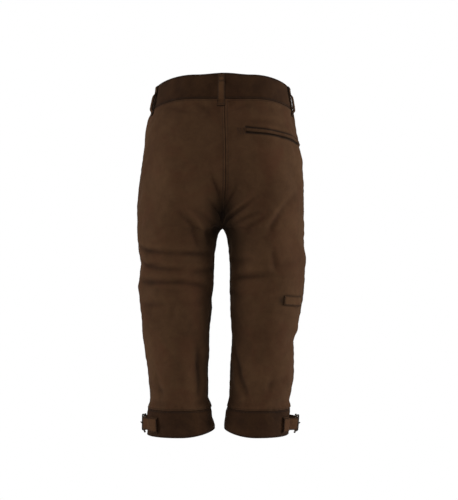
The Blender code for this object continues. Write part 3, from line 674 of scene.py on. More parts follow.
def mixed(tree, factor, first, second):
    """Two colours blended by a factor. Each is a hex code or a socket."""
    ends = {"A": first, "B": second}
    ends = {key: colour(end) if isinstance(end, str) else end for key, end in ends.items()}
    node = add(tree, "Mix", {"Factor": factor, **ends}, data_type="RGBA")
    return node.outputs["Result"]


def raised(tree, height, strength, distance, **under):
    """A bump of this many metres, over another one's normal if that is given."""
    inputs = {"Height": height, "Strength": strength, "Distance": distance, **under}
    return add(tree, "Bump", inputs).outputs["Normal"]


def blank(name):
    """A new material, its tree, its shader node and its Object coordinates."""
    material = bpy.data.materials.new(name)
    material.use_nodes = True
    tree = material.node_tree
    where = add(tree, "TexCoord").outputs["Object"]
    return material, tree, tree.nodes["Principled BSDF"], where


# %% Suede
def suede(name, deep, base, pale, ruddy, sheen):
    """Sanded leather, from the near-black of its painted shade to the pale tone of its rubbed
    places.
    """
    material, tree, shader, where = blank(name)
    crease, rub, seam = (
        add(tree, "Attribute", attribute_name=key).outputs["Fac"]
        for key in ("crease", "rub", "seam")
    )
    # dye and nap wander over about 90 mm, which is a hand's breadth
    broad = noise(tree, where, 11.0)
    # brushed patches of nap, about 14 mm
    patch = noise(tree, where, 70.0, 5.0, 0.62, 0.5)
    # fibres are about 0.2 mm, drawn four times as coarse so that they show
    fibre = noise(tree, where, 1250.0, 3.0, 0.7)
    # pores and scars of the hide, 3 mm apart
    pore = add(tree, "TexVoronoi", {"Vector": where, "Scale": 330.0}).outputs["Distance"]
    # here and there the dye took redder, in areas of about 60 mm
    area = ranged(tree, noise(tree, where, 16.0, 3.0, 0.5, 1.0), 0.45, 0.75, 0.0, 0.5)
    tone = ranged(tree, broad, 0.3, 0.7, 0.25, 0.75)
    brushed = ranged(tree, patch, 0.3, 0.7, -0.16, 0.16)
    level = add(tree, "Math", {0: tone, 1: brushed}).outputs[0]
    # painted shade in crease troughs, and a paler tone on crease ridges that is partly worn nap
    # and partly painted highlight
    sunk = add(tree, "Math", {0: crease, 1: 0.3, 2: level}, operation="MULTIPLY_ADD").outputs[0]
    rubbed = add(tree, "Math", {0: rub, 1: patch, 2: sunk}, operation="MULTIPLY_ADD").outputs[0]
    dye_wear_and_crease_shade = mixed(tree, area, mixed(tree, rubbed, base, pale), ruddy)
    speck = ranged(tree, fibre, 0.3, 0.7, 0.86, 1.14)
    # the seam value mixes in painted shade towards the deep tone: at edges, stitch rows, deep
    # folds, the crotch and between the legs
    final = add(tree, "VectorMath", {0: mixed(tree, seam, dye_wear_and_crease_shade, deep), "Scale": speck},
                operation="SCALE")
    nap = raised(tree, fibre, 0.3, 0.0003)
    hide = raised(tree, pore, 0.12, 0.0003, Normal=nap)
    wire_up(tree, shader, {
        "Base Color": final.outputs["Vector"],
        "Normal": raised(tree, patch, 0.25, 0.0014, Normal=hide),
        "Roughness": 0.93,
        "Specular IOR Level": 0.14,
        "Sheen Weight": sheen,
        "Sheen Roughness": 0.5,
        "Sheen Tint": colour("#b98d68"),
    })
    return material


# each suede's first tone is the near-black that its painted shade goes to
# brown sanded split: warm, matt, with a paler bloom where it turns away from the eye
SUEDE = suede("brown_sanded_suede", "#0e0703", "#362213", "#503824", "#432617", 0.12)
# bands are cut from a darker, closer part of the hide
TRIM = suede("dark_band_suede", "#0c0602", "#241408", "#352111", "#2c170b", 0.08)
# straps and loops are handled more, so their nap is rubbed pale
STRAP = suede("handled_strap_suede", "#0e0703", "#372213", "#543a24", "#3f2516", 0.12)
# the grain side of the hide faces the leg: smoother and duller
INSIDE = suede("smooth_inner_side", "#1c130c", "#30211a", "#413025", "#382319", 0.05)
print("suedes:", SUEDE.name, TRIM.name, STRAP.name, INSIDE.name)

# %% Thread, nickel and horn
def thread(name, light, dark):
    """Waxed linen: a smooth two-ply strand with a soft shine."""
    material, tree, shader, where = blank(name)
    # the plies twist about every 0.8 mm
    ply = noise(tree, where, 1200.0)
    wire_up(tree, shader, {
        "Base Color": mixed(tree, ply, light, dark),
        "Normal": raised(tree, ply, 0.4, 0.0002),
        "Roughness": 0.75,
        "Specular IOR Level": 0.2,
    })
    return material


def nickel(name, bright, tarnished):
    """Nickel-plated steel wire, tumbled smooth and then dulled by handling."""
    material, tree, shader, where = blank(name)
    # tarnish lies in patches of about 5 mm
    patch = noise(tree, where, 200.0, 4.0, 0.6)
    # fine scratches from use, about 0.6 mm apart
    scratch = noise(tree, where, 1700.0)
    wire_up(tree, shader, {
        "Base Color": mixed(tree, ranged(tree, patch, 0.38, 0.66), bright, tarnished),
        "Roughness": ranged(tree, patch, 0.38, 0.66, 0.28, 0.55),
        "Normal": raised(tree, scratch, 0.12, 0.0001),
        "Metallic": 1.0,
    })
    return material


def horn(name, dark, streaked):
    """Buffalo horn, turned and buffed: dark, streaked and softly glossy."""
    material, tree, shader, where = blank(name)
    # growth streaks about 2 mm apart, drawn out upwards
    drawn = add(tree, "Mapping", {"Vector": where, "Scale": (500.0, 500.0, 90.0)})
    streak = noise(tree, drawn.outputs["Vector"], 1.0, 3.0, 0.5, 0.8)
    wire_up(tree, shader, {
        "Base Color": mixed(tree, ranged(tree, streak, 0.4, 0.7), dark, streaked),
        "Normal": raised(tree, streak, 0.08, 0.0002),
        "Roughness": 0.32,
    })
    return material


THREAD = thread("waxed_brown_thread", "#2b1b10", "#140c07")
NICKEL = nickel("dulled_nickel", "#5e5246", "#2a221b")
HORN = horn("buffed_dark_horn", "#1d140e", "#5b4029")
print("other finishes:", THREAD.name, NICKEL.name, HORN.name)

# %% [markdown]
# ## The four panels
#
# Breeches have two backs and two fronts, sewn at the sides, the inseams and the centre. Each is
# one wall whose grid has a point about every 3 mm, and closer beside its seams, so that creases,
# puckers and ridges are real form and not only shading. At the centre seam the wall is mitred,
# as the frame's is, because the two halves meet there at an angle.

# %% Panels
MOST_MITRE = 2.6
BESIDE_SEAM = (0.0, 0.4, 1.1, 1.8, 2.6, 3.4, 4.3, 5.2, 6.6)


def marks(fold, to_edge, row, rub=0.3, near=0.8, shade=0.0):
    """Per-point values: crease from a fold depth, rub on the ridge, and seam, which is painted
    shade: dark at an edge, in a row of stitches, in a deep fold and wherever shade is given."""
    # painted shade in the deepest folds
    deep = 0.38 * smooth((-fold - 0.55) / 0.9)
    # painted shade along the edge and in the stitch row
    sewn = 0.9 * bump(to_edge, near) + 0.45 * bump(to_edge - row, 0.6)
    return {
        "crease": np.clip(fold, -1, 1),
        "rub": rub * bump(to_edge - row * 0.6, row * 0.5) + 0 * fold,
        "seam": 1 - (1 - np.clip(sewn, 0, 1)) * (1 - deep) * (1 - np.clip(shade, 0, 1)),
    }


# painted shade: how dark it goes at the crotch, between the legs, and beside the welt and flap
DARKEST, CROTCH_REACH = 0.97, 52.0
DARK_INSEAM, INSEAM_REACH = 0.95, 15.0
DARK_INNER_LEG, INNER_LEG_REACH = 0.32, 85.0
DARK_WELT, DARK_FLAP, DARK_FLAP_END = 0.95, 0.5, 0.7


def painted_shade(side, around, height):
    """How much painted shade darkens the suede: at the crotch and between the legs, where the legs
    shade each other, and in lines beside the pocket welt and knife flap, with a blot at the flap's
    end."""
    to_centre = (2 - np.abs(around)) * AROUND_MM
    to_crotch = np.hypot(to_centre, (height - CROTCH) * 0.85)
    crotch = DARKEST * np.clip(1.35 * bump(to_crotch, CROTCH_REACH), 0, 1)
    between = DARK_INSEAM * bump(to_centre, INSEAM_REACH)
    between = between + DARK_INNER_LEG * smooth((INNER_LEG_REACH - to_centre) / 60)
    between = np.minimum(between * smooth((CROTCH - height) / 40 + 0.3), DARKEST)
    welt = DARK_WELT * beside_strip(side, around, height, POCKET_MOUTH, WELT_HEIGHT, 2.2)
    flap = DARK_FLAP * beside_strip(side, around, height, KNIFE_FLAP, FLAP_HEIGHT, 1.6)
    off_end = np.hypot((around - 0.77) * AROUND_MM, (height + 427) * 0.6)
    flap = np.maximum(flap, DARK_FLAP_END * bump(off_end, 6) * (side == RIGHT))
    return 1 - (1 - crotch) * (1 - between) * (1 - welt) * (1 - flap)


def panel(name, side, start, end):
    """A quarter of the breeches, between two values of around."""
    arounds = start + stepped(2 * AROUND_MM, 2.9, BESIDE_SEAM) / AROUND_MM * (end - start) / 2
    below = CUFF_SEAM + stepped(CROTCH - CUFF_SEAM, 2.7, (0.0, 0.6, 1.4, 2.6))
    above = CROTCH + stepped(WAIST_SEAM - CROTCH, 2.0, (0.0, 0.6, 1.4, 2.6))
    heights = np.concatenate([below, above[1:]])
    around, height = np.meshgrid(arounds, heights)
    outer, normal = surface(side, around, height)
    seam = (np.abs(around) == 2) & (height >= CROTCH)
    beside, _ = facing(side, around * 0.97, height)
    lean = 1 / np.maximum((normal * beside).sum(axis=-1), 0.01)
    depth = np.where(seam, PANEL_WALL * np.minimum(lean, MOST_MITRE), PANEL_WALL)
    outer[..., 0] += np.where(seam, side * SEAM_SHUT / 2, 0)
    inner = outer - normal * depth[..., None]
    _, pace = facing(side, around, height)
    to_side, to_centre = np.abs(around) * pace, (2 - np.abs(around)) * pace
    to_ends = np.minimum(height - CUFF_SEAM, WAIST_SEAM - height)
    to_edge = np.minimum(np.minimum(to_side, to_centre), to_ends)
    fold = creases(side, around, height) / 3.0
    row = np.where((height > CROTCH) & (to_centre < 12), CENTRE_ROW, SIDE_ROW)
    # the panels take painted shade at the crotch, between the legs and beside the welt and flap
    values = marks(fold, to_edge, row, shade=painted_shade(side, around, height))
    outer, inner = trimmed(outer, *EDGES), trimmed(inner, *EDGES)
    obj = wall(name, arounds, heights, outer, inner, [SUEDE, INSIDE], values)
    fit(obj, "suede", name.replace("leather_", ""))
    body(side, around, height)


for side_name, side in (("left", LEFT), ("right", RIGHT)):
    panel(f"leather_back_{side_name}", side, 0.0, 2.0)
    panel(f"leather_front_{side_name}", side, -2.0, 0.0)

# %% [markdown]
# ## Waistband and cuffs
#
# Both are folded bands of a darker suede that sit a little proud of the panels and close off
# their edges. A folded edge is soft, so the outer face sinks round towards it, and a row of
# stitches near each edge pulls a groove. The waistband's right end sinks under the left one at
# the front, where a button holds the lap. The cuff opens at the side, under the strap.

# %% Band helpers
LAP, UNDERLAP = 26.0, 16.0
BAND_ROW = 2.8
BAND_MIDDLE = (WAIST_SEAM + WAIST_TOP) / 2


def per_mm(side, around, height):
    """How much around changes in a millimetre along the surface."""
    reach = 0.05
    sides, arounds = carried_on(side, np.array([around - reach, around + reach]))
    a, b = body(sides, arounds, height)
    return 2 * reach / np.linalg.norm(b - a)


def band_face(points, near, seed):
    """How a folded band's outer face lies at this distance from its edges, in millimetres."""
    swell = 0.5 * smooth((near - BAND_ROW) / 5) - 0.4 * bump(near - BAND_ROW, 0.8)
    ripple = waves(points, 30, seed) * 0.45 + waves(points, 12, seed + 1) * 0.18
    return swell + ripple * smooth(near / 2) - rounded(near, 1.4)


def band(name, flat, base, normal, face, near, edges, sink=0.0, shade=0.0):
    """A folded band. sink is how deep it lies under a lap, and edges are the ones sewn down."""
    outer = trimmed(base + normal * (BAND_PROUD + face - sink)[..., None], *edges)
    inner = trimmed(base + normal * (BAND_PROUD - BAND_WALL - sink + 0 * face)[..., None], *edges)
    values = marks(face, near, BAND_ROW, rub=0.35, near=0.6, shade=shade)
    obj = wall(name, *flat, outer, inner, [TRIM, TRIM], values)
    fit(obj, "trim_suede", name.replace("leather_", ""))


# %% Waistband
def waistband(name, side, lap, sunk_under):
    """One half of the waistband, from its lap to the centre back."""
    step = per_mm(side, -2, BAND_MIDDLE)
    start = -2 - lap * step
    arounds = start + stepped((2 - start) * AROUND_MM, 3.0) / AROUND_MM
    tall = WAIST_TOP - WAIST_SEAM
    ups = stepped(tall, 1.6)
    around, up = np.meshgrid(arounds, ups)
    along = (around - start) / step
    base, normal = surface(*carried_on(side, around), WAIST_SEAM + up)
    near = np.minimum(np.minimum(up, tall - up), along)
    to_seam = (2 - around) / per_mm(side, 2, BAND_MIDDLE)
    face = band_face(base, near, 31 + side) - 0.8 * bump(to_seam, 1.0)
    sink = np.zeros_like(face)
    if sunk_under:
        level, low = -2 + (LAP + 9) * step, -2 + (LAP + 1) * step
        sink = smooth((level - around) / (level - low)) * (BAND_WALL + SEAM_GAP + 0.6)
    # painted shade along the band's centre back seam
    flat, shade = ((arounds - start) / step, ups), 0.8 * bump(to_seam, 0.8)
    band(name, flat, base, normal, face, near, ("right", "bottom"), sink, shade)


waistband("leather_waistband_left", LEFT, LAP, False)
waistband("leather_waistband_right", RIGHT, UNDERLAP, True)

# %% Cuffs
STRAP_MIDDLE, STRAP_HEIGHT, STRAP_WALL = -686.0, 26.0, 2.6
CUFF_OPENING = 0.06
Knee = namedtuple("Knee", "name side buckle stand lean keeper start tip")
KNEES = [
    Knee("left", LEFT, 0.04, 8.8, 6.0, 54, -92, 60),
    Knee("right", RIGHT, 0.02, 17.5, 7.0, 43.5, -92, 50),
]


def cuff(knee):
    """A band round the end of a leg."""
    split = knee.buckle - CUFF_OPENING
    arounds = split + stepped(4 * AROUND_MM, 2.8) / AROUND_MM
    tall = CUFF_SEAM - HEM
    ups = stepped(tall, 1.7)
    around, up = np.meshgrid(arounds, ups)
    base, normal = surface(knee.side, (around + 2) % 4 - 2, HEM + up)
    along = (around - split) * AROUND_MM
    near = np.minimum(np.minimum(up, tall - up), np.minimum(along, 4 * AROUND_MM - along))
    face = band_face(base, near, 41 + knee.side)
    flat = (arounds - split) * AROUND_MM, ups
    band(f"leather_cuff_{knee.name}", flat, base, normal, face, near, ("left", "right", "top"))


for knee in KNEES:
    cuff(knee)

# %% [markdown]
# ## Strips that are sewn on
#
# Belt loops, pocket welt, knife flap, fly, straps and keepers are flat strips of leather. One
# recipe serves all: a strip has two edges and two ends, a small table says how far it stands off
# at each place, and its outer corners are rounded. Its grid is worked out in millimetres and
# then laid on the leather.

# %% The strip builder
Stand = namedtuple("Stand", "height out")
CORNERS = (0.0, 0.25, 0.7, 1.4)
STRIP_ROW, STRIP_CORNER = 2.0, 0.8


def laid_out(wide, tall, step_across, step_up):
    """A strip's columns and rows in millimetres, and then the grid that they make."""
    flat = stepped(wide, step_across, CORNERS), stepped(tall, step_up, CORNERS)
    return flat, *np.meshgrid(*flat)


def strip(name, node, side, flat, arounds, heights, stand, depth, seed, skin=None, shade=0.0):
    """A strip of leather. flat holds the millimetres across and up its grid, arounds and
    heights where that lies, stand how far out its inner face is, and shade its dark places."""
    xs, ys = flat
    to_end, to_edge = np.meshgrid(np.minimum(xs, xs[-1] - xs), np.minimum(ys, ys[-1] - ys))
    base, normal = surface(*carried_on(side, arounds), heights)
    near = np.minimum(to_end, to_edge)
    face = 0.25 * smooth((near - 1.6) / 2.5) - 0.3 * bump(near - STRIP_ROW, 0.6)
    face = face + waves(base, 8, seed) * 0.15 * smooth(near / 2)
    face = face - rounded(to_end, STRIP_CORNER) - rounded(to_edge, STRIP_CORNER)
    face = np.maximum(face, -0.8 * depth)
    outer = base + normal * (stand + depth + face)[..., None]
    inner = base + normal * stand[..., None]
    values = marks(face, near, STRIP_ROW, rub=0.4, near=0.9, shade=shade)
    obj = wall(name, xs, ys, outer, inner, [skin or STRAP, skin or STRAP], values)
    return fit(obj, "trim_suede", node)


# %% Belt loops
LOOP_WIDTH, LOOP_WALL, LOOP_TOP, LOOP_BOTTOM = 15.0, 2.4, 9.0, -51.0
LOOP_SEWN, LOOP_FOOT = 14.0, 6.0
Place = namedtuple("Place", "name side around slack")
BELT_LOOPS = [
    Place("back", LEFT, 1.88, 6.6),
    Place("side_left", LEFT, 0.27, 4.6),
    Place("side_right", RIGHT, 0.23, 4.6),
    Place("front_left", LEFT, -1.22, 6.6),
    Place("front_right", RIGHT, -1.22, 6.6),
]
LAID = SEAM_GAP + 0.6


def loop_profile(place):
    """How far out a loop's inner face lies, from its foot up."""
    stand, foot, head = place.slack + BAND_PROUD, LOOP_BOTTOM + LOOP_FOOT, LOOP_TOP - LOOP_SEWN
    return [
        Stand(LOOP_BOTTOM, LAID),
        Stand(foot, LAID),
        Stand(foot + 4, stand * 0.72),
        Stand(foot + 9, stand),
        Stand((LOOP_BOTTOM + LOOP_TOP) / 2, stand + 0.5),
        Stand(head - 8, stand),
        Stand(head - 4, stand * 0.75),
        Stand(head, BAND_PROUD + LAID),
        Stand(LOOP_TOP, BAND_PROUD + LAID),
    ]


def belt_loop(place, seed):
    """A strip sewn down at both ends, standing off the band between them."""
    step = per_mm(place.side, place.around, WAIST_SEAM)
    tall = LOOP_TOP - LOOP_BOTTOM
    flat, across, up = laid_out(LOOP_WIDTH, tall, 1.5, 1.2)
    arounds = place.around + (across - LOOP_WIDTH / 2) * step
    heights = LOOP_BOTTOM + up
    stand = column_line(loop_profile(place), "out")(heights)
    name, node = f"leather_loop_{place.name}", f"belt_loop_{place.name}"
    strip(name, node, place.side, flat, arounds, heights, stand, LOOP_WALL, seed)


for number, place in enumerate(BELT_LOOPS):
    belt_loop(place, 50 + number)
print(len(BELT_LOOPS), "belt loops")

# %% Pocket welt and knife flap
WELT_WALL, FLAP_WALL = 2.2, 2.0


def ribbon(name, node, side, route, tall, depth, seed):
    """A strip laid on a leg along a route of places."""
    length = (route[-1].around - route[0].around) * AROUND_MM
    flat, along, up = laid_out(length, tall, 2.4, 1.1)
    arounds = route[0].around + along / AROUND_MM
    heights = route_heights(route, arounds) + up - tall / 2
    stand = np.full_like(arounds, SEAM_GAP)
    strip(name, node, side, flat, arounds, heights, stand, depth, seed, SUEDE)


ribbon("leather_pocket_welt", "pocket_welt", RIGHT, POCKET_MOUTH, WELT_HEIGHT, WELT_WALL, 61)
ribbon("leather_knife_flap", "knife_flap", RIGHT, KNIFE_FLAP, FLAP_HEIGHT, FLAP_WALL, 62)

# %% The fly
FLY_WIDTH, FLY_LAP, FLY_END = 36.0, 5.0, -180.0
FLY_STEP = per_mm(LEFT, -2, FLY_END)


def fly():
    """The strip that closes the front, lapped past the centre seam from the left."""
    wide, tall = FLY_LAP + FLY_WIDTH, WAIST_SEAM - FLY_END
    flat, across, up = laid_out(wide, tall, 2.4, 2.6)
    arounds = -2 + (across - FLY_LAP) * FLY_STEP
    heights = np.minimum(FLY_END + up, WAIST_SEAM - 0.2)
    stand = np.full_like(arounds, SEAM_GAP)
    strip("leather_fly", "fly_lap", LEFT, flat, arounds, heights, stand, PANEL_WALL, 63, SUEDE)


fly()

# %% [markdown]
# ## Knee straps
#
# A strap is sewn to the front of each cuff, runs back through its buckle at the side, and its
# tip rests in a keeper. The buckle hangs on a short tab, and the slack strap lets it stand off
# the leg and lean, which is why it shows at the outline. The strap passes under the buckle's
# front bar and over its rear bar, so its height along the leg is a small table too.

# %% Straps and tabs
KEEPER_WIDTH, KEEPER_HEIGHT, KEEPER_WALL = 28.0, 33.0, 2.0
TAB_WALL, TAB_SEWN = 1.8, 16.0
BUCKLE_WIDTH, BUCKLE_HEIGHT, BUCKLE_WIRE, BUCKLE_CORNER = 23.0, 36.0, 3.4, 5.0
PRONG_WIRE = 2.6
BUCKLE_BAR = (BUCKLE_WIDTH - BUCKLE_WIRE) / 2
ON_CUFF = BAND_PROUD + LAID


def wire_out(knee, at):
    """How far out the buckle's wire lies at this distance from its middle."""
    return knee.stand - knee.lean / 2 * at / BUCKLE_BAR


def strap_profile(knee):
    """How far out the strap's inner face lies, by distance from the buckle."""
    clear = BUCKLE_WIRE / 2 + 2 * SEAM_GAP
    under = wire_out(knee, -BUCKLE_BAR) - clear - STRAP_WALL
    over = wire_out(knee, BUCKLE_BAR) + clear
    return [
        Stand(knee.start, ON_CUFF),
        Stand(-52, ON_CUFF),
        Stand(-38, ON_CUFF + 0.3 * (under - ON_CUFF)),
        Stand(-24, ON_CUFF + 0.8 * (under - ON_CUFF)),
        Stand(-BUCKLE_BAR - 2, under),
        Stand(-BUCKLE_BAR + 2, under),
        Stand(BUCKLE_BAR - 2, over),
        Stand(BUCKLE_BAR + 2, over),
        Stand(BUCKLE_BAR + 7, ON_CUFF + 0.72 * (over - ON_CUFF)),
        Stand(BUCKLE_BAR + 13, ON_CUFF + 0.24 * (over - ON_CUFF)),
        Stand(BUCKLE_BAR + 18, ON_CUFF),
        Stand(knee.tip, ON_CUFF),
    ]


def tab_profile(knee):
    """How far out the buckle tab's inner face lies, by distance from the buckle."""
    top = wire_out(knee, BUCKLE_BAR) - BUCKLE_WIRE / 2 - SEAM_GAP - TAB_WALL
    return [
        Stand(-6 - TAB_SEWN, ON_CUFF),
        Stand(-6, ON_CUFF),
        Stand(0, ON_CUFF + 0.3 * (top - ON_CUFF)),
        Stand(BUCKLE_BAR - 3, ON_CUFF + 0.8 * (top - ON_CUFF)),
        Stand(BUCKLE_BAR + 1, top),
    ]


def on_cuff(knee, part_name, node, profile, tall, depth, seed, painted_shade_at=()):
    """A strip round the side of a cuff that follows a profile of distances from the buckle.
    Shade is painted across it in a narrow band at each of the given places."""
    step = per_mm(knee.side, knee.buckle, STRAP_MIDDLE)
    low, high = profile[0].height, profile[-1].height
    flat, along, up = laid_out(high - low, tall, 1.6, 1.6)
    arounds = knee.buckle + (low + along) * step
    stand = column_line(profile, "out")(low + along)
    heights = STRAP_MIDDLE - tall / 2 + up
    shade = sum((0.9 * bump(low + along - shaded_spot, 2.4) for shaded_spot in painted_shade_at), 0 * along)
    name = f"{part_name}_{knee.name}"
    strip(name, node, knee.side, flat, arounds, heights, stand, depth, seed, shade=shade)


TAB_HEIGHT = BUCKLE_HEIGHT - 2 * BUCKLE_WIRE - 4
for knee in KNEES:
    # painted shade where the strap crosses the buckle's bars and where it dips under the keeper
    painted_shade_at = (-BUCKLE_BAR, BUCKLE_BAR, knee.keeper - KEEPER_WIDTH / 2)
    on_cuff(knee, "leather_strap", f"knee_strap_{knee.name}", strap_profile(knee),
            STRAP_HEIGHT, STRAP_WALL, 71, painted_shade_at)
    on_cuff(knee, "leather_tab", f"buckle_tab_{knee.name}", tab_profile(knee),
            TAB_HEIGHT, TAB_WALL, 73)

# %% Keepers
def keeper(knee, seed):
    """The loop over the strap's tip, sewn down above and below it."""
    step = per_mm(knee.side, knee.buckle, STRAP_MIDDLE)
    over, edge = ON_CUFF + STRAP_WALL + SEAM_GAP + 0.3, STRAP_HEIGHT / 2 + SEAM_GAP
    half = KEEPER_HEIGHT / 2
    profile = [
        Stand(-half, ON_CUFF), Stand(-edge - 1.2, ON_CUFF), Stand(-edge + 0.4, over),
        Stand(0, over + 0.2), Stand(edge - 0.4, over), Stand(edge + 1.2, ON_CUFF),
        Stand(half, ON_CUFF),
    ]
    flat, across, up = laid_out(KEEPER_WIDTH, KEEPER_HEIGHT, 1.4, 1.0)
    arounds = knee.buckle + (knee.keeper - KEEPER_WIDTH / 2 + across) * step
    stand = column_line(profile, "out")(up - half)
    name, node = f"leather_keeper_{knee.name}", f"strap_keeper_{knee.name}"
    heights = STRAP_MIDDLE - half + up
    strip(name, node, knee.side, flat, arounds, heights, stand, KEEPER_WALL, seed)


for knee in KNEES:
    keeper(knee, 75)

# %% [markdown]
# ## Buckles
#
# A knee buckle is a ring of steel wire bent to a rectangle with round corners and plated. Its
# rear bar is the pin that the prong turns on, and the pin's ends are hammered into small knobs.
# A curve with a round section gives the wire, as drawing it through a die does, and it lies on
# the leather where the strap holds it.

# %% Wire and knobs
def wire(name, points, radii, closed, material):
    """Round wire through these points in millimetres, with a radius at each."""
    curve = bpy.data.curves.new(name, "CURVE")
    curve.dimensions = "3D"
    curve.bevel_depth = MM
    curve.bevel_resolution = 5
    curve.use_fill_caps = not closed
    spline = curve.splines.new("POLY")
    spline.points.add(len(points) - 1)
    spline.points.foreach_set("co", np.c_[points * MM, np.ones(len(points))].ravel())
    spline.points.foreach_set("radius", np.broadcast_to(radii, len(points)).copy())
    spline.use_cyclic_u = closed
    shaped = bpy.data.objects.new(name + "_curve", curve)
    mesh = bpy.data.meshes.new_from_object(shaped)
    bpy.data.objects.remove(shaped)
    mesh.name = name
    mesh.materials.clear()
    mesh.materials.append(material)
    return settled(name, mesh)


def on_leg(knee, at, up, out):
    """Places this far from a buckle's middle, back along the leg and up, and out."""
    step = per_mm(knee.side, knee.buckle, STRAP_MIDDLE)
    around = knee.buckle + np.asarray(at, float) * step
    return surface(knee.side, around, STRAP_MIDDLE + np.asarray(up, float), out)


# %% Frames, knobs and prongs
def buckle_frame(knee):
    """The rectangular ring of wire, leaning as the slack strap lets it."""
    turn = np.radians(np.concatenate([np.linspace(90 * k, 90 * k + 90, 9) for k in range(4)]))
    corner = np.repeat([[1, 1], [-1, 1], [-1, -1], [1, -1]], 9, axis=0)
    tall = (BUCKLE_HEIGHT - BUCKLE_WIRE) / 2
    at = corner[:, 0] * (BUCKLE_BAR - BUCKLE_CORNER) + BUCKLE_CORNER * np.cos(turn)
    up = corner[:, 1] * (tall - BUCKLE_CORNER) + BUCKLE_CORNER * np.sin(turn)
    points, _ = on_leg(knee, at, up, wire_out(knee, at))
    obj = wire(f"nickel_frame_{knee.name}", points, BUCKLE_WIRE / 2, True, NICKEL)
    return fit(obj, "buckle_metal", f"buckle_frame_{knee.name}")


KNOB_RADIUS, KNOB_OUT = 2.3, 0.6


def buckle_knobs(knee):
    """The hammered ends of the pin, above and below the rear bar."""
    reach = BUCKLE_HEIGHT / 2 + KNOB_OUT
    places, _ = on_leg(knee, [BUCKLE_BAR - 1] * 2, [-reach, reach], wire_out(knee, BUCKLE_BAR))
    bm = bmesh.new()
    for place in places:
        made = bmesh.ops.create_uvsphere(bm, u_segments=20, v_segments=12, radius=KNOB_RADIUS * MM)
        bmesh.ops.scale(bm, vec=(1, 1, 0.8), verts=made["verts"])
        bmesh.ops.translate(bm, vec=place * MM, verts=made["verts"])
    mesh = as_mesh("knobs", bm)
    mesh.materials.append(NICKEL)
    fit(settled(f"nickel_knobs_{knee.name}", mesh), "buckle_metal")


def buckle_prong(knee):
    """The prong, up through the strap and over the front bar, thinner at its tip."""
    over = BUCKLE_WIRE / 2 + SEAM_GAP + PRONG_WIRE / 2
    at = np.array([2.5, -BUCKLE_BAR / 2, -BUCKLE_BAR, -BUCKLE_BAR - 3])
    rise = np.array([over + 1.0, over + 0.8, over, over + 0.2])
    fine = np.linspace(at[0], at[-1], 25)
    out = wire_out(knee, fine) + np.interp(-fine, -at, rise)
    points, _ = on_leg(knee, fine, 0 * fine, out)
    radii = np.interp(np.arange(25), [0, 4, 18, 24], [1.1, 1.3, 1.25, 0.75])
    obj = wire(f"nickel_prong_{knee.name}", points, radii, False, NICKEL)
    fit(obj, "buckle_metal", f"buckle_prong_{knee.name}")


for knee in KNEES:
    buckle_frame(knee)
    buckle_knobs(knee)
    buckle_prong(knee)

# %% [markdown]
# ## The button
#
# A horn button is turned on a lathe: a disc with a raised rim and a dished middle, drilled with
# four holes. So half its outline is drawn and spun round its axis, and the holes are sunk.

# %% A turned button
BUTTON_RADIUS, BUTTON_THICKNESS, BUTTON_SETBACK = 8.5, 3.4, 3.0
Turned = namedtuple("Turned", "radius height")
BUTTON_OUTLINE = [
    Turned(0.0, -1.7), Turned(7.4, -1.7), Turned(8.2, -1.2), Turned(8.5, -0.2),
    Turned(8.3, 0.9), Turned(7.8, 1.5), Turned(7.1, 1.7), Turned(6.4, 1.4), Turned(5.8, 0.8),
    Turned(5.0, 0.5), Turned(2.7, 0.4), Turned(1.3, 0.4), Turned(0.0, 0.4),
]
HOLE_NEAR, HOLE_FAR, HOLE_HALF, HOLE_DEEP = 1.4, 2.6, 0.31, 1.4


def place_of_button():
    """The button's middle on the lap of the waistband, and the way that it faces."""
    around = -2 - (LAP / 2 - BUTTON_SETBACK) * per_mm(LEFT, -2, BAND_MIDDLE)
    out = BAND_PROUD + 2 * SEAM_GAP + BUTTON_THICKNESS / 2
    places, normals = surface(LEFT, np.array([around]), np.array([BAND_MIDDLE]), out)
    return Vector(places[0] * MM), Vector(normals[0])


def button():
    """The turned disc, its four holes sunk, laid on the lap of the waistband."""
    bm = bmesh.new()
    outline = [bm.verts.new((spot.radius * MM, 0, spot.height * MM)) for spot in BUTTON_OUTLINE]
    edges = [bm.edges.new(pair) for pair in zip(outline, outline[1:])]
    bmesh.ops.spin(bm, geom=outline + edges, cent=(0, 0, 0), axis=(0, 0, 1), dvec=(0, 0, 0),
                   angle=2 * math.pi, steps=32)
    bmesh.ops.remove_doubles(bm, verts=bm.verts[:], dist=MM / 1000)
    bmesh.ops.recalc_face_normals(bm, faces=bm.faces[:])
    holes = []
    for face in bm.faces:
        middle = face.calc_center_median()
        turn = math.atan2(middle.y, middle.x) % (math.pi / 2) - math.pi / 4
        ring = HOLE_NEAR * MM < middle.xy.length < HOLE_FAR * MM and middle.z > 0
        if ring and abs(turn) < HOLE_HALF:
            holes.append(face)
    sunk = bmesh.ops.extrude_face_region(bm, geom=holes)["geom"]
    bottom = [v for v in sunk if isinstance(v, bmesh.types.BMVert)]
    bmesh.ops.translate(bm, verts=bottom, vec=(0, 0, -HOLE_DEEP * MM))
    centre, normal = place_of_button()
    bm.transform(normal.to_track_quat("Z", "Y").to_matrix().to_4x4())
    bmesh.ops.translate(bm, verts=bm.verts[:], vec=centre)
    mesh = as_mesh("button", bm)
    mesh.materials.append(HORN)
    fit(settled("horn_button", mesh), "horn", "waist_button")


button()
print("button", 2 * BUTTON_RADIUS, "mm across")

# %% [markdown]
# ## Stitching
#
# Every seam is topstitched in waxed thread, about seven stitches to the inch. A stitch is a
# small rounded bar that lies in its groove, so one is made and then repeated along lines. Each
# line is given in a piece's own flat millimetres, and the chart kept from making that piece
# turns them into places on its finished face. One mesh holds the stitches of each kind of seam.

# %% Stitch lines
PITCH, STITCH_LONG, STITCH_WIDE, STITCH_HIGH, STITCH_OUT = 3.6, 2.9, 0.95, 0.8, 0.12


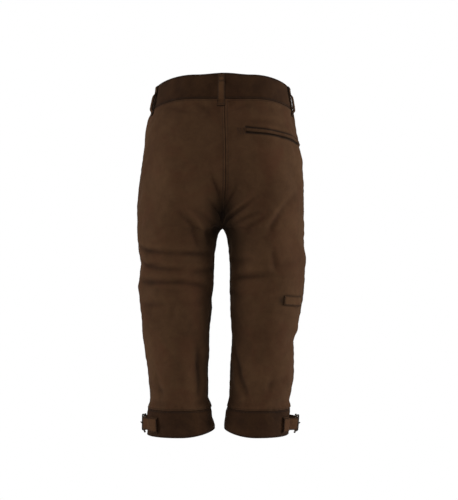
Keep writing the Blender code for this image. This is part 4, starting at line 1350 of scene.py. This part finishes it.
def on_piece(name, xs, ys):
    """Places on a made piece and its normals there, from its own flat coordinates."""
    chart = CHARTS[name]
    xs, ys = arrays(xs, ys)
    column = np.interp(xs, chart.xs, np.arange(len(chart.xs)))
    row = np.interp(ys, chart.ys, np.arange(len(chart.ys)))
    c = np.minimum(column.astype(int), len(chart.xs) - 2)
    r = np.minimum(row.astype(int), len(chart.ys) - 2)
    s, t = (column - c)[:, None], (row - r)[:, None]

    def blend(grid):
        low = grid[r, c] * (1 - s) + grid[r, c + 1] * s
        high = grid[r + 1, c] * (1 - s) + grid[r + 1, c + 1] * s
        return low * (1 - t) + high * t

    return blend(chart.places), unit(blend(chart.normals))


def stitches_along(points, normals, pitch=PITCH):
    """The middle, the way and the normal of each stitch along a line."""
    distance = np.concatenate([[0], np.cumsum(np.linalg.norm(np.diff(points, axis=0), axis=1))])
    count = max(1, int(distance[-1] / pitch))
    at = (np.arange(count) + 0.5) * distance[-1] / count

    def read(values, where):
        return np.stack([np.interp(where, distance, values[:, k]) for k in range(3)], axis=1)

    ways = unit(read(points, at + 1) - read(points, at - 1))
    return read(points, at), ways, unit(read(normals, at))


def sew(name, slot, lines, long=STITCH_LONG):
    """One mesh of all the stitches along these lines, each a pair of points and normals."""
    bm = bmesh.new()
    bmesh.ops.create_uvsphere(bm, u_segments=6, v_segments=4, radius=0.5)
    shape = np.array([v.co[:] for v in bm.verts])
    faces = [[v.index for v in face.verts] for face in bm.faces]
    bm.free()
    middles, ways, normals = (np.concatenate(part) for part in zip(*lines))
    across = unit(np.cross(normals, ways))
    up = np.cross(ways, across)
    middles = middles + up * STITCH_OUT
    places = (
        middles[:, None]
        + shape[None, :, 2:3] * long * ways[:, None]
        + shape[None, :, 0:1] * STITCH_WIDE * across[:, None]
        + shape[None, :, 1:2] * STITCH_HIGH * up[:, None]
    )
    count = len(shape)
    joined = [[i + k * count for i in face] for k in range(len(middles)) for face in faces]
    mesh = bpy.data.meshes.new(name)
    mesh.from_pydata((places.reshape(-1, 3) * MM).tolist(), [], joined)
    mesh.materials.append(THREAD)
    fit(settled(name, mesh), slot)
    print(name, len(middles), "stitches")


def chord(name, x0, y0, x1, y1):
    """A straight line of stitches on a piece, between two places in its flat coordinates."""
    t = np.linspace(0, 1, 60)
    return stitches_along(*on_piece(name, x0 + (x1 - x0) * t, y0 + (y1 - y0) * t))


# %% Stitches of the leg seams
def beside(name, side, edge, row, low, high):
    """A row this many millimetres from the seam at this value of around."""
    heights = np.linspace(low, high, 160)
    inward = -1 if edge > 0 else 1
    _, pace = facing(side, np.full_like(heights, edge + inward * 0.03), heights)
    return stitches_along(*on_piece(name, edge + inward * row / pace, heights))


side_rows, inner_rows, centre_rows = [], [], []
for side_name, side in (("left", LEFT), ("right", RIGHT)):
    back, front = f"leather_back_{side_name}", f"leather_front_{side_name}"
    side_rows.append(beside(back, side, 0.0, SIDE_ROW, CUFF_SEAM + 3, WAIST_SEAM - 3))
    for name, edge in ((back, 2.0), (front, -2.0)):
        inner_rows.append(beside(name, side, edge, SIDE_ROW, CUFF_SEAM + 3, CROTCH - 4))
        centre_rows.append(beside(name, side, edge, CENTRE_ROW, CROTCH + 8, WAIST_SEAM - 3))
sew("stitching_side_seams", "suede", side_rows)
sew("stitching_inseams", "suede", inner_rows)
sew("stitching_centre_seams", "suede", centre_rows)


# %% Stitches of the bands
def band_rows(name, left, right):
    """Rows along both long edges of a band, and across the ends that show."""
    chart = CHARTS[name]
    x0, x1, y0, y1 = chart.xs[0], chart.xs[-1], chart.ys[0], chart.ys[-1]
    low, high = y0 + BAND_ROW, y1 - BAND_ROW
    a, b = x0 + BAND_ROW * left, x1 - BAND_ROW * right
    t = np.linspace(a, b, 300)
    rows = [stitches_along(*on_piece(name, t, y)) for y in (low, high)]
    for x, shows in ((a, left), (b, right)):
        if shows:
            rows.append(chord(name, x, low, x, high))
    return rows


sew("stitching_waistband", "trim_suede",
    band_rows("leather_waistband_left", 1, 0) + band_rows("leather_waistband_right", 0, 0))
for knee in KNEES:
    sew(f"stitching_cuff_{knee.name}", "trim_suede", band_rows(f"leather_cuff_{knee.name}", 1, 1))


# %% Stitches of the strips
def outline_rows(name, sides):
    """Rows beside the chosen edges of a strip: l, r, b and t for left, right, bottom, top."""
    chart = CHARTS[name]
    x0, x1 = chart.xs[0] + STRIP_ROW, chart.xs[-1] - STRIP_ROW
    y0, y1 = chart.ys[0] + STRIP_ROW, chart.ys[-1] - STRIP_ROW
    runs = {"l": (x0, y0, x0, y1), "r": (x1, y0, x1, y1), "b": (x0, y0, x1, y0),
            "t": (x0, y1, x1, y1)}
    return [chord(name, *runs[key]) for key in sides]


def bar_tack(name, x0, x1, y, count=7):
    """A tight zigzag that holds the end of a strip."""
    tops = y + np.where(np.arange(count) % 2, 1.2, -1.2)
    at = np.linspace(0, count - 1, 60)
    xs = np.interp(at, range(count), np.linspace(x0, x1, count))
    points, normals = on_piece(name, xs, np.interp(at, range(count), tops))
    return stitches_along(points, normals, 2.4)


loop_rows = []
for place in BELT_LOOPS:
    name, tall = f"leather_loop_{place.name}", LOOP_TOP - LOOP_BOTTOM
    loop_rows += outline_rows(name, "lr")
    for y in (4.0, tall - 4, tall - LOOP_SEWN + 1.5):
        loop_rows.append(bar_tack(name, 2, LOOP_WIDTH - 2, y))
sew("stitching_belt_loops", "trim_suede", loop_rows)
sew("stitching_flap", "trim_suede", outline_rows("leather_knife_flap", "lrb"))

strap_rows = []
for knee in KNEES:
    strap_rows += outline_rows(f"leather_strap_{knee.name}", "lrbt")
    strap_rows += outline_rows(f"leather_keeper_{knee.name}", "lr")
    for y in (3.0, KEEPER_HEIGHT - 3.0):
        strap_rows.append(bar_tack(f"leather_keeper_{knee.name}", 2, KEEPER_WIDTH - 2, y))
sew("stitching_straps", "trim_suede", strap_rows)


# %% Stitches of the pocket and the fly
def route_rows(name, route, off, start, end):
    """A row on a panel beside a route, this far above or below its middle."""
    around = np.linspace(start, end, 90)
    return stitches_along(*on_piece(name, around, route_heights(route, around) + off))


POCKET_ROW, POCKET_START, POCKET_END = 5.6, 0.05, 1.42
welt_rows = [
    route_rows("leather_back_right", POCKET_MOUTH, off, POCKET_START, POCKET_END)
    for off in (POCKET_ROW, -POCKET_ROW)
]
welt_rows.append(chord("leather_back_right", POCKET_END, -101, POCKET_END, -89.5))
# a tack of three peaks holds the pocket's end
for start in (1.38, 1.46, 1.54):
    end = start + 0.08
    welt_rows.append(chord("leather_back_right", start, -104.5, end, -91))
    welt_rows.append(chord("leather_back_right", end, -91, end, -104.5))
sew("stitching_pocket", "suede", welt_rows)

# the fly's row is a J: out from the centre at the foot, then up beside the edge
curve_at = np.linspace(0, 1, 80)
j_x = FLY_LAP + (FLY_WIDTH - 4) * np.minimum(1, np.sqrt(curve_at * 4))
j_y = 4 + (WAIST_SEAM - FLY_END - 7) * curve_at**1.4
fly_rows = [stitches_along(*on_piece("leather_fly", j_x, j_y))]
fly_rows.append(chord("leather_fly", 2.2, 6, 2.2, WAIST_SEAM - FLY_END - 4))
sew("stitching_fly", "suede", fly_rows)

centre, normal = place_of_button()
toward = normal.to_track_quat("Z", "Y").to_matrix()
cross = []
for turn in (45, 135):
    for shift in (-0.55, 0, 0.55):
        spin = Vector((math.cos(math.radians(turn)), math.sin(math.radians(turn)), 0))
        beside_it = Vector((-spin.y, spin.x, 0)) * shift
        middle = centre / MM + toward @ (beside_it + Vector((0, 0, 0.55)))
        cross.append(([middle[:]], [(toward @ spin)[:]], [normal[:]]))
sew("stitching_button", "horn", cross, long=5.2)

# %% [markdown]
# ## Studio
#
# The view is from behind at mid-thigh height, from 2.8 m, on white. The floor is a plain pale
# disc below the breeches, which the wearer's waist holds up. One large soft light is above the
# camera, one at each side brings out the outline, and two weak ones fill the shadows. The
# insides of the legs face no light, so they go dark, and painted shade in the suede darkens them
# more.

# %% Camera
EYE, LENS, FILM_HEIGHT = (-0.01365, 2.8, -0.325), 96.0, 36.0
camera = bpy.data.objects.new("camera", bpy.data.cameras.new("camera"))
camera.data.sensor_fit = "VERTICAL"
camera.data.sensor_height = FILM_HEIGHT
camera.data.lens = LENS
camera.location = EYE
camera.rotation_euler = (math.radians(90), 0, math.radians(180))
bpy.context.scene.collection.objects.link(camera)
bpy.context.scene.camera = camera

# %% Floor
FLOOR_LEVEL, FLOOR_RADIUS = -1.16, 1.5
bm = bmesh.new()
bmesh.ops.create_circle(bm, cap_ends=True, segments=96, radius=FLOOR_RADIUS)
bmesh.ops.translate(bm, verts=bm.verts[:], vec=(0, 0, FLOOR_LEVEL))
floor_mesh = as_mesh("floor", bm)
floor = bpy.data.objects.new("floor", floor_mesh)
bpy.context.scene.collection.objects.link(floor)

# painted board: matt and nearly white, with the faint grain of a roller
board, tree, shader, where = blank("pale_painted_board")
paint = raised(tree, noise(tree, where, 300.0), 0.05, 0.0005)
wire_up(tree, shader, {"Normal": paint, "Base Color": colour("#f2f1ee"), "Roughness": 0.8})
floor_mesh.materials.append(board)

# %% Lights
Lamp = namedtuple("Lamp", "name x y z size power")
LAMPS = [
    Lamp("key_above", 0.1, 2.6, 1.4, 1.4, 34.0),
    Lamp("fill_low", -0.3, 2.9, -0.7, 1.2, 4.0),
    Lamp("side_left", 2.2, 0.5, 0.1, 1.2, 30.0),
    Lamp("side_right", -2.2, 0.4, 0.1, 1.2, 40.0),
    Lamp("front", 0.4, -2.4, 1.0, 1.8, 9.0),
]
AIM = Vector((0.0, 0.0, -0.35))
for lamp in LAMPS:
    light = bpy.data.lights.new(lamp.name, "AREA")
    light.shape = "DISK"
    light.size = lamp.size
    light.energy = lamp.power
    obj = bpy.data.objects.new(lamp.name, light)
    obj.location = (lamp.x, lamp.y, lamp.z)
    obj.rotation_euler = (AIM - obj.location).to_track_quat("-Z", "Y").to_euler()
    bpy.context.scene.collection.objects.link(obj)

AMBIENT = 0.05
world = bpy.data.worlds.new("studio")
bpy.context.scene.world = world
world.use_nodes = True
tree = world.node_tree
tree.nodes.clear()
seen = add(tree, "LightPath").outputs["Is Camera Ray"]
white = add(tree, "Background", {"Color": (1, 1, 1, 1), "Strength": 1.0})
soft = add(tree, "Background", {"Color": (1, 1, 1, 1), "Strength": AMBIENT})
both = add(tree, "MixShader", {0: seen, 1: soft.outputs[0], 2: white.outputs[0]})
add(tree, "OutputWorld", {"Surface": both.outputs[0]})
bpy.context.scene.view_settings.view_transform = "Standard"
print("lamps:", len(LAMPS), "floor at", FLOOR_LEVEL, "m")
